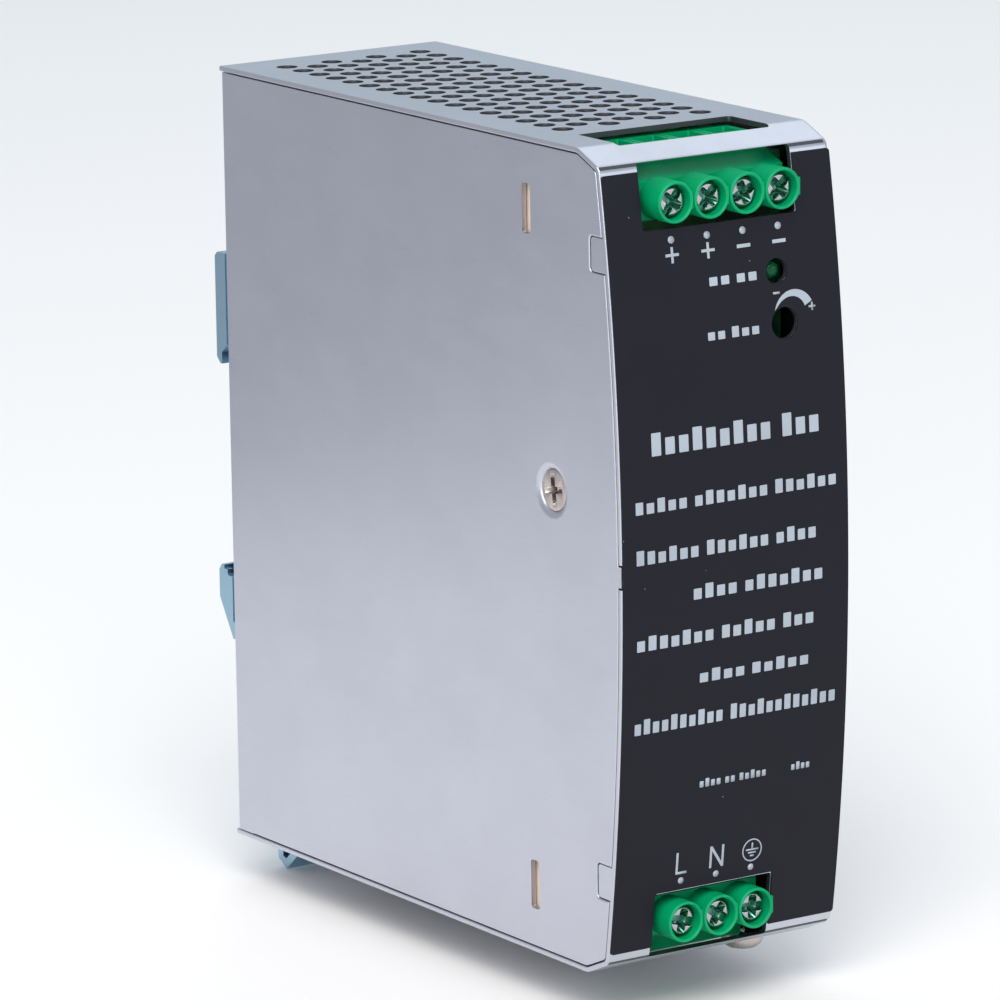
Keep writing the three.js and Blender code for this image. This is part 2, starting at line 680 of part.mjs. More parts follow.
function trimmerRotor() {
  const face = 97.4;
  return cut(
    turnedAlongDepth(rod(1.5, 96.3, face), COARSE, TRIM_X, TRIM_Z),
    box(TRIM_X - 1.1, TRIM_X + 1.1, face - 0.6, face + 1, TRIM_Z - 0.25, TRIM_Z + 0.25),
  );
}

function powerLed() {
  const lens = turnedAlongDepth(
    [
      [0, 99.8], [1.8, 99.8], [1.8, 100.6], [1.5, 100.6], [1.5, 103.9],
      [1.3, 104.65], [0.75, 105.2], [0, 105.4],
    ],
    COARSE, LED_X, LED_Z,
  );
  const legs = [-1.27, 1.27].flatMap((offset) => {
    const z = LED_Z + offset;
    return [
      box(LED_X - 0.25, LED_X + 0.25, 98.3, 100, z - 0.25, z + 0.25),
      box(LED_X - 0.25, PART_BASE, 98.3, 98.8, z - 0.25, z + 0.25),
    ];
  });
  return join(lens, ...legs);
}

// ---------------------------------------------------------------- components
// A box standing on the board and reaching `tall` towards the cover.
const onBoard = (tall, depth0, depth1, z0, z1) =>
  box(PART_BASE - tall, PART_BASE, depth0, depth1, z0, z1);

const can = (radius, tall, depth, z) =>
  turnedAlongWidth(rod(radius, PART_BASE - tall, PART_BASE), MEDIUM, depth, z);

const ring = (inner, outer, tall, depth, z) => {
  const low = PART_BASE - tall;
  return turnedAlongWidth(
    [[inner, PART_BASE], [inner, low], [outer, low], [outer, PART_BASE], [inner, PART_BASE]],
    MEDIUM, depth, z,
  );
};

const fuse = () =>
  turnedAlongDepth(
    [
      [0, 60], [2.8, 60], [2.8, 65], [2.5, 65], [2.5, 75], [2.8, 75], [2.8, 80], [0, 80],
    ],
    COARSE, PART_BASE - 4, 9,
  );

function transformerCore() {
  const { depth, z, half, tall, plate, post, leg } = TRANSFORMER;
  const top = PART_BASE - tall;
  const zs = [z - half - 2, z + half + 2];
  return join(
    onBoard(plate, depth - half, depth + half, ...zs),
    box(top, top + plate, depth - half, depth + half, ...zs),
    box(top, PART_BASE, depth - half, depth + half, zs[0], zs[0] + leg),
    box(top, PART_BASE, depth - half, depth + half, zs[1] - leg, zs[1]),
    can(post, tall, depth, z),
  );
}

function transformerWinding() {
  const { depth, z, half, tall, plate, post, leg } = TRANSFORMER;
  const inner = post + GAP;
  const outer = half + 2 - leg - GAP;
  const low = PART_BASE - tall + plate + GAP;
  const high = PART_BASE - plate - GAP;
  return turnedAlongWidth(
    [[inner, high], [inner, low], [outer, low], [outer, high], [inner, high]], MEDIUM, depth, z,
  );
}

// ---------------------------------------------------------------- assembly
add("chassis_shell", chassisShell(), caseSheet());
add("side_cover", sideCover(), caseSheet());
add("front_label", frontLabel(), finish(0x2b2b34, 0.55, 0));
add("side_cover_screw", sideCoverScrew(), screwSteel());
add("cover_pillar", coverPillar(), brightSteel());
add("bottom_screw", bottomScrew(), screwSteel());
add("earth_bracket", earthBracket(), brightSteel());

add("clip_base", clipBase(), clipSteel());
add("clip_latch", clipLatch(), clipSteel());
add("latch_spring", latchSpring(), brightSteel());
for (const [name, x, z] of CLIP_RIVETS) add(name, rivet(sunkHead, x, z), brightSteel());
for (const [name, x, z] of LATCH_RIVETS) add(name, rivet(domedHead, x, z), brightSteel());

add("insulation_sheet", insulationSheet(), finish(0xe1bea5, 0.7, 0));
add("main_board", mainBoard(), boardGreen());
add("output_terminal_board", terminalBoard(OUTPUT, -13.2), boardGreen());
add("input_terminal_board", terminalBoard(INPUT, -12.6), boardGreen());
for (const [name, depth, z] of STANDOFFS) add(name, standoff(depth, z), finish(0xe8e6dc, 0.6, 0));

for (const [label, row] of [["output", OUTPUT], ["input", INPUT]]) {
  add(`${label}_terminal_body`, terminalBody(row), terminalGreen());
  row.xs.forEach((x, i) => {
    add(`${label}_contact_${i + 1}`, contact(row, x), finish(0xc9b27a, 0.35, 1));
    add(`${label}_wire_clamp_${i + 1}`, wireClamp(row, x), brightSteel());
    add(`${label}_screw_${i + 1}`, terminalScrew(row, x), brightSteel());
  });
}

add("voltage_trimmer_body", trimmerBody(), finish(0x2d5f9e, 0.5, 0));
add("voltage_trimmer_rotor", trimmerRotor(), finish(0xd9d4c4, 0.5, 0));
add("power_led", powerLed(), finish(0x1d7a43, 0.15, 0));

add("input_fuse", fuse(), finish(0xd8dde0, 0.2, 0.3));
add("filter_capacitor", onBoard(14, 62, 80, 15, 24), finish(0xd2b23c, 0.5, 0));
add("common_mode_choke", ring(4, 9.5, 12, 70, 37), finish(0xa6572b, 0.4, 0.5));
add("bridge_rectifier", onBoard(20, 51, 55, 10, 32), blackPlastic());
add("bulk_capacitor", can(12.5, 30, 34, 22), finish(0x23262e, 0.4, 0.1));
add("primary_heatsink", onBoard(30, 14, 17, 36, 74), finish(0xb9bcc0, 0.4, 0.9));
add("primary_transistor", onBoard(20, 17.3, 22, 40, 55), blackPlastic());
add("transformer_core", transformerCore(), finish(0x3b3b3d, 0.6, 0.1));
add("transformer_winding", transformerWinding(), finish(0xd9b545, 0.6, 0));
add("control_chip", onBoard(2.5, 66, 76, 55, 62), blackPlastic());
add("secondary_heatsink", onBoard(30, 14, 17, 84, 112), finish(0xb9bcc0, 0.4, 0.9));
add("secondary_rectifier", onBoard(16, 17.3, 22, 90, 105), blackPlastic());
add("output_inductor", ring(5, 11.5, 14, 38, 98), finish(0xb26a2f, 0.4, 0.5));
add("output_capacitor", can(6.3, 28, 60, 96), finish(0x24303c, 0.4, 0.1));

const powerSupply = new THREE.Group();
powerSupply.add(caseGroup);
export default powerSupply;
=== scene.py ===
import json
import math

import bmesh
import bpy
from mathutils import Matrix, Vector


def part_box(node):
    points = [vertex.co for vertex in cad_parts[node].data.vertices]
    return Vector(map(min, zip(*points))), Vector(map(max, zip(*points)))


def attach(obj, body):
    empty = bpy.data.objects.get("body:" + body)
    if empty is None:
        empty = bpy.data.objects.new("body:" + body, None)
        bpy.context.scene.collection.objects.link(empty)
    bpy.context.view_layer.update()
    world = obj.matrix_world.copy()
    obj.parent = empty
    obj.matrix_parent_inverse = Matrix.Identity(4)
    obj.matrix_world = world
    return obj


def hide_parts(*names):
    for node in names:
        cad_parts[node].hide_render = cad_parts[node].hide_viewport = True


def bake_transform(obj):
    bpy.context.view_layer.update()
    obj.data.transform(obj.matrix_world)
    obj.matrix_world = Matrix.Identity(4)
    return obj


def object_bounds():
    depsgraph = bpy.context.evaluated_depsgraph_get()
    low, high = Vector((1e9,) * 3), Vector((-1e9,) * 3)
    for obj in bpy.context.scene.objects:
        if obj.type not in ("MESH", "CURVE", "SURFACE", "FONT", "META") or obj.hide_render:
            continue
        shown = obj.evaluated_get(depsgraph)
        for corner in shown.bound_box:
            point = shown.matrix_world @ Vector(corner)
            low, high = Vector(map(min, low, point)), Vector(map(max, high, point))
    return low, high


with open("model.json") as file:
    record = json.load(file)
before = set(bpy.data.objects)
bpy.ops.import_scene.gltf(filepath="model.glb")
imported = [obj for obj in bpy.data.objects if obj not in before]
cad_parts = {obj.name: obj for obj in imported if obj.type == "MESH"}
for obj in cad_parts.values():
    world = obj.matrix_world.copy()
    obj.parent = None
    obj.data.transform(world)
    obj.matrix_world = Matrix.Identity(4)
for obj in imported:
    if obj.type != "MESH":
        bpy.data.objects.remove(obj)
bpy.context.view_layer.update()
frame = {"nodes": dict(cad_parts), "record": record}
MM = 0.001

# ------------------------ the case frame
shell_low, shell_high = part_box("chassis_shell")
ORIGIN = Vector(((shell_low.x + shell_high.x) / 2, shell_high.y, shell_low.z))
HALF_W = (shell_high.x - shell_low.x) / 2 / MM
CASE_H = (shell_high.z - shell_low.z) / MM
FRONT = (shell_high.y - shell_low.y) / MM
MID_H = CASE_H / 2


def at(x, depth, z):
    """A point of the case frame, in the model's frame."""
    return ORIGIN + Vector((x, -depth, z)) * MM


def extent(node):
    """A CAD node's lowest and highest (x, depth, z) in the case frame."""
    low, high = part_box(node)
    low, high = (low - ORIGIN) / MM, (high - ORIGIN) / MM
    return Vector((low.x, -high.y, low.z)), Vector((high.x, -low.y, high.z))


def middle(node):
    """The middle of a CAD node in the case frame."""
    low, high = extent(node)
    return (low + high) / 2


# ------------------------ driving dimensions
SHEET = 0.8
GAP = 0.3
SEAM = 0.16  # the gap that shows between the two wrapped sheets
BOW_RADIUS = 386
BOW_STEPS = 40
BEVEL_START = 98.5
BEVEL_ANGLE = math.radians(23.2)
BEND_TOP = 3.0  # bend radii of the case sheet, on its outer face
BEND_FRONT = 1.7
BEND_SIDE = 0.9
BEND_STEPS = 6
EDGE = 0.22  # rounding of the sheets' cut edges
EDGE_STEPS = 4

HOLE_PITCH = 4.75
HOLE_RADIUS = 1.68
HOLE_COLUMNS = 7
HOLE_FIRST_X = -12.8
ROW_STEP = HOLE_PITCH * math.sin(math.pi / 3)  # each row lies in the gaps of its neighbours
TOP_VENTS = {"z": CASE_H, "first": 7.55, "rows": 17}
BOTTOM_VENTS = {"z": 0, "first": 21.8, "rows": 13}

OUT_WINDOW = {"left": -13.9, "right": 13.3, "low": 111.35, "high": 121.2}
IN_WINDOW = {"left": -13.1, "right": 8.1, "low": 2.3, "high": 12.15}
WIRE_WINDOW = (89.05, 99.3)
FRONT_TOOLS = (BEVEL_START + 3, FRONT + 1)  # depths between which a tool opens the front
LED_HOLE = 1.93
TRIM_HOLE = 2.38
BOTTOM_HOLE = 1.8

SLOT_SIZE = (2.2, 7.5)
SLOT_DEPTH = 84
SLOT_ZS = (112.8, 10.5)
TAB_ZS = (108.4, 14.8)
TAB_HEIGHT = 5.15
TAB_DEPTH = 101.42
TAB_SUNK = 0.2
TAB_RADIUS = 0.6
NOTCH_HEIGHT = 5.4
NOTCH_DEPTH = 101.3
KEY_Z = 61.65
KEY_HEIGHT = 3.1
RIVET_HOLE = 1.9

LABEL_LIFT = 0.05
LABEL_THICK = 0.2
LABEL_LOW, LABEL_HIGH = 3.9, 120
LABEL_LEFT, LABEL_RIGHT = -20.3, 20.2
LABEL_TOOLS = (95, 115)  # depths in front of and behind all of the label
LABEL_OUTPUT = {"left": -14.0, "right": 13.5, "low": 111.4}  # its openings over the terminals
LABEL_INPUT = {"left": -13.05, "right": 8.28, "high": 12.31}

LENS_RADIUS = 1.8  # of the lamp's collar
LED = middle("power_led")
LED.x = extent("power_led")[0].x + LENS_RADIUS  # its legs reach past the lens on the other side
TRIM = middle("voltage_trimmer_rotor")
SIDE_SCREW = middle("side_cover_screw")
BOTTOM_SCREW = middle("bottom_screw")

RECORD = frame["record"]
SLOT_OF = {part["node"]: part["material_slot"] for part in RECORD["subparts"]}
BODY_OF = {node: body for body, nodes in RECORD["behaviour"]["bodies"].items() for node in nodes}


# ------------------------ mesh building
def mesh_of(points, faces):
    """A mesh from points of the case frame, with its faces turned outwards."""
    mesh = bpy.data.meshes.new("shape")
    mesh.from_pydata([at(*point) for point in points], [], faces)
    work = bmesh.new()
    work.from_mesh(mesh)
    bmesh.ops.remove_doubles(work, verts=work.verts, dist=1e-7)
    bmesh.ops.recalc_face_normals(work, faces=work.faces)
    work.to_mesh(mesh)
    work.free()
    return mesh


def loft(rings):
    """A closed body through rings of equal length, capped at both ends."""
    count = len(rings[0])
    points = [point for ring in rings for point in ring]
    faces = [tuple(range(count)), tuple(range(len(points) - count, len(points)))]
    for ring in range(len(rings) - 1):
        start = ring * count
        for i in range(count):
            j = (i + 1) % count
            faces.append((start + i, start + j, start + count + j, start + count + i))
    return mesh_of(points, faces)


def side_plate(outline, x0, x1):
    """An outline in (depth, z) between two x."""
    return loft([[(x, depth, z) for depth, z in outline] for x in (x0, x1)])


def front_plate(outline, depth0, depth1):
    """An outline in (x, z) between two depths."""
    return loft([[(x, depth, z) for x, z in outline] for depth in (depth0, depth1)])


def flat_plate(outline, z0, z1):
    """An outline in (x, depth) between two heights."""
    return loft([[(x, depth, z) for x, depth in outline] for z in (z0, z1)])


def arc(centre, radius, start, end, steps=BEND_STEPS):
    """Points on an arc between two angles, both included."""
    angles = [start + (end - start) * step / steps for step in range(steps + 1)]
    return [(centre[0] + radius * math.cos(a), centre[1] + radius * math.sin(a)) for a in angles]


def rounded(u0, u1, v0, v1, radius, steps=5):
    """A rectangle with rounded corners, as points."""
    corners = ((u1 - radius, v1 - radius), (u0 + radius, v1 - radius),
               (u0 + radius, v0 + radius), (u1 - radius, v0 + radius))
    points = []
    for i, corner in enumerate(corners):
        points += arc(corner, radius, i * math.pi / 2, (i + 1) * math.pi / 2, steps)
    return points


def box(x0, x1, depth0, depth1, z0, z1):
    return front_plate([(x0, z0), (x1, z0), (x1, z1), (x0, z1)], depth0, depth1)


def quarter_round(size):
    """Steps of a rounded edge, as how far in from the face and how far short of the wall."""
    angles = [math.pi / 2 * step / EDGE_STEPS for step in range(EDGE_STEPS + 1)]
    return [(size * (1 - math.cos(t)), size * (1 - math.sin(t))) for t in angles]


def eased_plate(shape, face, back, size):
    """shape(inset) gives (depth, z) points, carried from a rounded edge at `face` to `back`."""
    rings = [[(face + inward, *p) for p in shape(short)] for inward, short in quarter_round(size)]
    return loft([*rings, [(back, *p) for p in shape(0)]])


def eased_opening(shape, face, back, size):
    """Like eased_plate, but to be cut from a plate, so it flares towards its face."""
    rings = [[(face + inward, *p) for p in shape(-short)] for inward, short in quarter_round(size)]
    return loft([[(face - 1, *p) for p in shape(-size)], *rings, [(back, *p) for p in shape(0)]])


def turned(profile, centre, axis, sides=40):
    """A turned body. profile is (radius, distance) pairs; axis is x, depth or z."""
    points, rings = [], []
    for radius, along in profile:
        ring = []
        for i in range(1 if radius == 0 else sides):
            angle = 2 * math.pi * i / sides
            u, v = radius * math.cos(angle), radius * math.sin(angle)
            ring.append(len(points))
            if axis == "x":
                points.append((along, centre[1] + u, centre[2] + v))
            elif axis == "depth":
                points.append((centre[0] + u, along, centre[2] + v))
            else:
                points.append((centre[0] + u, centre[1] + v, along))
        rings.append(ring)
    if profile[0][0] > 0:
        rings.append(rings[0])
    faces = []
    for lower, upper in zip(rings, rings[1:]):
        for i in range(sides):
            j = (i + 1) % sides
            corners = [lower[i % len(lower)], lower[j % len(lower)],
                       upper[j % len(upper)], upper[i % len(upper)]]
            faces.append(tuple(dict.fromkeys(corners)))
    return mesh_of(points, faces)


def rod(radius, start, end):
    return [(0, start), (radius, start), (radius, end), (0, end)]


def merged(meshes):
    """Several separate meshes as one."""
    work = bmesh.new()
    for mesh in meshes:
        work.from_mesh(mesh)
    whole = bpy.data.meshes.new("shape")
    work.to_mesh(whole)
    work.free()
    return whole


def baked(thing):
    """The mesh that an object's modifiers make."""
    bpy.context.view_layer.update()
    graph = bpy.context.evaluated_depsgraph_get()
    return bpy.data.meshes.new_from_object(thing.evaluated_get(graph))


def combined(operation, base, tools):
    collection = bpy.context.scene.collection
    work = bpy.data.objects.new("work", base)
    collection.objects.link(work)
    helpers = []
    for tool in tools:
        helper = bpy.data.objects.new("tool", tool)
        collection.objects.link(helper)
        helpers.append(helper)
        step = work.modifiers.new("step", "BOOLEAN")
        step.operation = operation
        step.object = helper
        step.solver = "MANIFOLD"
    mesh = baked(work)
    for used in [work, *helpers]:
        bpy.data.objects.remove(used)
    if not mesh.polygons:
        raise ValueError(f"{operation} left nothing")
    return mesh


def join(base, *tools):
    return combined("UNION", base, tools)


def cut(base, *tools):
    return combined("DIFFERENCE", base, tools)


def soften(thing, width, segments=2, angle=30):
    """Rounds an object's sharp edges and keeps its flat faces flat."""
    weld = thing.modifiers.new("weld", "WELD")
    weld.merge_threshold = 1e-6
    if width:
        bevel = thing.modifiers.new("bevel", "BEVEL")
        bevel.width = width * MM
        bevel.segments = segments
        bevel.limit_method = "ANGLE"
        bevel.angle_limit = math.radians(angle)
        bevel.use_clamp_overlap = True
        bevel.miter_outer = "MITER_ARC"
    normals = thing.modifiers.new("normals", "WEIGHTED_NORMAL")
    normals.weight = 80
    normals.keep_sharp = True


def piece(name, mesh, material, node, bevel, segments=2):
    """A finished piece: its edges softened, its material on, riding where its CAD node rides."""
    thing = bpy.data.objects.new(name, mesh)
    bpy.context.scene.collection.objects.link(thing)
    mesh.shade_smooth()
    soften(thing, bevel, segments)
    final = baked(thing)
    thing.modifiers.clear()
    thing.data = final
    final.name = name
    final.materials.clear()
    final.materials.append(material)
    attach(thing, BODY_OF[node])
    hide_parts(node)
    return thing


# ------------------------ materials
# Marked faces take painted shade: the walls of the sheet's windows and holes, and the clamp screws'
# recesses.
MARK = "cut"  # name of the face mark that mark_faces() writes and some materials read


class Nodes:
    """Short calls for making a material's nodes."""

    def __init__(self, name):
        self.material = bpy.data.materials.new(name)
        self.material.use_nodes = True
        self.tree = self.material.node_tree
        self.shader = self.tree.nodes["Principled BSDF"]
        self.place = self.make("ShaderNodeTexCoord").outputs["Object"]

    def make(self, kind, **values):
        node = self.tree.nodes.new(kind)
        for key, value in values.items():
            setattr(node, key, value)
        return node

    def link(self, source, target):
        if hasattr(source, "is_output"):
            self.tree.links.new(source, target)
        else:
            target.default_value = source

    def marked(self):
        """1 on marked faces and 0 elsewhere."""
        return self.make("ShaderNodeAttribute", attribute_name=MARK).outputs["Fac"]

    def stretched(self, scale):
        node = self.make("ShaderNodeMapping")
        self.link(self.place, node.inputs["Vector"])
        node.inputs["Scale"].default_value = scale
        return node.outputs["Vector"]

    def noise(self, size, detail=3, rough=0.5, place=None):
        """Noise with features of about `size` mm."""
        node = self.make("ShaderNodeTexNoise")
        self.link(place or self.place, node.inputs["Vector"])
        node.inputs["Scale"].default_value = 1 / (size * MM)
        node.inputs["Detail"].default_value = detail
        node.inputs["Roughness"].default_value = rough
        return node.outputs["Fac"]

    def cells(self, size, feature="F1"):
        """Cells about `size` mm across."""
        node = self.make("ShaderNodeTexVoronoi", feature=feature)
        self.link(self.place, node.inputs["Vector"])
        node.inputs["Scale"].default_value = 1 / (size * MM)
        return node

    def math(self, operation, a, b=0.0):
        node = self.make("ShaderNodeMath", operation=operation)
        self.link(a, node.inputs[0])
        self.link(b, node.inputs[1])
        return node.outputs[0]

    def remap(self, value, low, high, to_low, to_high):
        node = self.make("ShaderNodeMapRange")
        for key, number in zip(("Value", "From Min", "From Max", "To Min", "To Max"),
                               (value, low, high, to_low, to_high)):
            self.link(number, node.inputs[key])
        return node.outputs[0]

    def mix(self, amount, a, b):
        node = self.make("ShaderNodeMix", data_type="RGBA")
        self.link(amount, node.inputs[0])
        self.link(a, node.inputs[6])
        self.link(b, node.inputs[7])
        return node.outputs[2]

    def bump(self, height, distance):
        """Relief in which a full step of height stands `distance` mm."""
        node = self.make("ShaderNodeBump")
        node.inputs["Distance"].default_value = distance * MM
        node.inputs["Strength"].default_value = 1.0
        self.link(height, node.inputs["Height"])
        return node.outputs["Normal"]

    def set(self, **values):
        for key, value in values.items():
            self.link(value, self.shader.inputs[key.replace("_", " ")])
        return self.material


def shade(color, factor):
    return (color[0] * factor, color[1] * factor, color[2] * factor, 1)


def rolled_metal(name, color, roughness, along=(1, 0.04, 1), streak=0.25, cut_edge_and_shade=False):
    """Rolled sheet: fine streaks one way, soft handling marks, and a faint grain.

    With cut_edge_and_shade, marked faces are rougher, as cut edges are, and are painted near black as shade
    on the walls of windows and holes.
    """
    n = Nodes(name)
    spread = 0.06
    streaks = n.noise(streak, 4, 0.6, n.stretched(along))
    clouds = n.noise(22, 3, 0.55)
    marks = n.noise(6, 5, 0.65, n.stretched((1, 0.5, 1.4)))
    grain = n.noise(0.35, 2, 0.5)
    tone = n.mix(n.remap(clouds, 0.3, 0.7, 0, 1), shade(color, 0.965), shade(color, 1.02))
    tone = n.mix(n.remap(streaks, 0.35, 0.65, 0, 0.12), tone, shade(color, 0.9))
    rough = n.remap(streaks, 0.3, 0.7, roughness - spread / 2, roughness + spread / 2)
    rough = n.math("ADD", rough, n.remap(marks, 0.45, 0.75, 0, spread))
    if cut_edge_and_shade:
        marked = n.marked()
        # Painted shade: marked faces, the walls of windows and holes, darken to near black.
        tone = n.mix(n.math("MULTIPLY", marked, 0.85), tone, shade(color, 0.06))
        rough = n.math("ADD", rough, n.math("MULTIPLY", marked, 0.25))
    relief = n.math("ADD", n.math("MULTIPLY", streaks, 0.5), grain)
    normal = n.bump(relief, 0.004)
    return n.set(Base_Color=tone, Metallic=1.0, Roughness=rough, Normal=normal)


def plated(name, color, roughness, grain=0.2, relief=0.004, dirt=0.15, recess_shade_color=None):
    """Plated or machined metal with a fine grain and darker handling in patches.

    Marked faces take a painted colour that stands for the shade and the reflections in a recess.
    """
    n = Nodes(name)
    fine = n.noise(grain, 3, 0.6)
    patches = n.noise(2.5, 4, 0.6)
    tone = n.mix(n.remap(patches, 0.45, 0.75, 0, dirt), shade(color, 1), shade(color, 0.6))
    rough = n.remap(patches, 0.3, 0.7, roughness * 0.8, roughness * 1.25)
    if recess_shade_color:
        marked = n.marked()
        # Painted shade and reflection on marked faces.
        tone = n.mix(n.math("MULTIPLY", marked, 0.9), tone, (*recess_shade_color, 1))
        rough = n.math("ADD", rough, n.math("MULTIPLY", marked, 0.06))
    return n.set(Base_Color=tone, Metallic=1.0, Roughness=rough, Normal=n.bump(fine, relief))


def moulded(name, color, roughness, grain=0.3, relief=0.012, specular=0.5, scatter=0.0):
    """Moulded plastic: spark-eroded texture, faint flow clouds and a few lighter rubs."""
    n = Nodes(name)
    texture = n.noise(grain, 4, 0.6)
    clouds = n.noise(5, 3, 0.5)
    tone = n.mix(n.remap(clouds, 0.35, 0.65, 0, 1), shade(color, 0.94), shade(color, 1.06))
    tone = n.mix(n.remap(texture, 0.55, 0.8, 0, 0.12), tone, shade(color, 1.35))
    rough = n.remap(texture, 0.3, 0.7, roughness - 0.05, roughness + 0.07)
    n.shader.inputs["Specular IOR Level"].default_value = specular
    n.shader.inputs["Subsurface Weight"].default_value = scatter
    n.shader.inputs["Subsurface Radius"].default_value = (0.0006, 0.0012, 0.0006)
    return n.set(Base_Color=tone, Metallic=0.0, Roughness=rough, Normal=n.bump(texture, relief))


def film(name, color, roughness, speck=(0.30, 0.31, 0.34), specular=0.5):
    """Printed film: a satin skin with a fine weave-like grain and specks of dust."""
    n = Nodes(name)
    grain = n.noise(0.16, 3, 0.6)
    clouds = n.noise(14, 3, 0.5)
    tone = n.mix(n.remap(clouds, 0.3, 0.7, 0, 1), shade(color, 0.92), shade(color, 1.08))
    dots = n.cells(2.6)
    some = n.math("GREATER_THAN", n.noise(3.1, 1, 0.5), 0.6)
    near = n.math("LESS_THAN", dots.outputs["Distance"], 0.03)
    tone = n.mix(n.math("MULTIPLY", some, near), tone, (*speck, 1))
    rough = n.remap(grain, 0.3, 0.7, roughness - 0.05, roughness + 0.05)
    rough = n.math("ADD", rough, n.remap(clouds, 0.5, 0.8, 0, 0.08))
    n.shader.inputs["Specular IOR Level"].default_value = specular
    return n.set(Base_Color=tone, Metallic=0.0, Roughness=rough, Normal=n.bump(grain, 0.006))


def laminate(name, color):
    """Solder mask over glass cloth: a weave under the skin, and copper tracks that show through."""
    n = Nodes(name)
    weave = n.make("ShaderNodeTexChecker")
    n.link(n.place, weave.inputs["Vector"])
    weave.inputs["Scale"].default_value = 1 / (0.5 * MM)
    tracks = n.cells(5, "DISTANCE_TO_EDGE")
    edge = n.math("LESS_THAN", tracks.outputs["Distance"], 0.09)
    tone = n.mix(n.math("MULTIPLY", edge, 0.5), shade(color, 1), shade(color, 1.6))
    tone = n.mix(n.math("MULTIPLY", weave.outputs["Fac"], 0.12), tone, shade(color, 0.7))
    relief = n.bump(n.math("ADD", edge, n.math("MULTIPLY", weave.outputs["Fac"], 0.1)), 0.03)
    rough = n.remap(n.noise(2, 3), 0.3, 0.7, 0.28, 0.42)
    return n.set(Base_Color=tone, Metallic=0.0, Roughness=rough, Normal=relief)


def wound(name, color, pitch, axis, roughness=0.3, metallic=0.3):
    """Turns of wire or tape: rounded ridges `pitch` mm apart along an axis, with painted shade in the
    grooves between them.
    """
    n = Nodes(name)
    split = n.make("ShaderNodeSeparateXYZ")
    n.link(n.place, split.inputs[0])
    wobble = n.math("MULTIPLY", n.noise(4, 2), 0.3)
    phase = n.math("ADD", n.math("MULTIPLY", split.outputs[axis], 1 / (pitch * MM)), wobble)
    ridge = n.math("ABSOLUTE", n.math("SINE", n.math("MULTIPLY", phase, math.pi)))
    # Painted shade: the grooves between turns darken to under half the colour.
    tone = n.mix(n.remap(ridge, 0, 0.5, 0, 1), shade(color, 0.45), shade(color, 1.05))
    rough = n.remap(n.noise(1.2, 3), 0.3, 0.7, roughness - 0.06, roughness + 0.1)
    return n.set(Base_Color=tone, Metallic=metallic, Roughness=rough,
                 Normal=n.bump(ridge, pitch * 0.35))


def clear_lens(name, color):
    """Tinted clear plastic that lets a little light through."""
    n = Nodes(name)
    swirl = n.noise(1.2, 2)
    tone = n.mix(n.remap(swirl, 0.3, 0.7, 0, 1), shade(color, 0.8), shade(color, 1.2))
    n.shader.inputs["IOR"].default_value = 1.52
    n.shader.inputs["Transmission Weight"].default_value = 0.2
    n.shader.inputs["Specular IOR Level"].default_value = 0.12
    rough = n.remap(swirl, 0.3, 0.7, 0.03, 0.07)
    return n.set(Base_Color=tone, Metallic=0.0, Roughness=rough, Normal=n.bump(swirl, 0.003))


MATERIALS = {
    # case_sheet paints shade on the walls of its windows and holes.
    "case_sheet": rolled_metal("case_sheet", (0.56, 0.575, 0.645), 0.30, cut_edge_and_shade=True),
    "label": film("label", (0.005, 0.005, 0.0105), 0.42, specular=0.2),
    "clip_steel": rolled_metal("clip_steel", (0.33, 0.50, 0.615), 0.3, along=(1, 1, 0.08), streak=0.2),
    "screw_steel": plated("screw_steel", (0.56, 0.50, 0.48), 0.3, dirt=0.25),
    "bright_steel": plated("bright_steel", (0.70, 0.72, 0.72), 0.12, grain=0.4, relief=0.003),
    "insulator": film("insulator", (0.80, 0.62, 0.50), 0.5, (0.6, 0.4, 0.3)),
    "board": laminate("board", (0.02, 0.13, 0.055)),
    "nylon": moulded("nylon", (0.78, 0.76, 0.68), 0.45, scatter=0.1),
    "terminal_green": moulded("terminal_green", (0.0, 0.31, 0.12), 0.42, specular=0.15),
    "contact_brass": plated("contact_brass", (0.72, 0.62, 0.38), 0.25),
    "trimmer_blue": moulded("trimmer_blue", (0.03, 0.12, 0.42), 0.35),
    "trimmer_rotor": moulded("trimmer_rotor", (0.75, 0.72, 0.60), 0.4),
    "led_green": clear_lens("led_green", (0.0, 0.085, 0.028)),
    "fuse_tube": moulded("fuse_tube", (0.75, 0.76, 0.74), 0.2, grain=0.8, relief=0.004),
    "film_yellow": moulded("film_yellow", (0.62, 0.42, 0.04), 0.3),
    "copper_winding": wound("copper_winding", (0.62, 0.22, 0.06), 0.9, 2),
    "black_plastic": moulded("black_plastic", (0.02, 0.02, 0.022), 0.45),
    "capacitor_sleeve": film("capacitor_sleeve", (0.02, 0.025, 0.04), 0.22),
    "heatsink": rolled_metal("heatsink", (0.72, 0.73, 0.75), 0.4, along=(0.05, 1, 1)),
    "ferrite": moulded("ferrite", (0.045, 0.045, 0.048), 0.55, grain=0.15, relief=0.02),
    "winding_tape": wound("winding_tape", (0.70, 0.48, 0.06), 3.2, 0, 0.25, 0.0),
}
# The clamp screws' recesses are painted dark green: painted shade, and a painted reflection of the green
# towers.
CLAMP_STEEL = plated("clamp_steel", (0.47, 0.46, 0.49), 0.19, grain=0.4, dirt=0.2,
                     recess_shade_color=(0.07, 0.27, 0.19))
PRINT_INK = film("print_ink", (0.34, 0.38, 0.44), 0.45, (0.5, 0.5, 0.55))


# ------------------------ case outline
BOW_CENTRE = FRONT - BOW_RADIUS


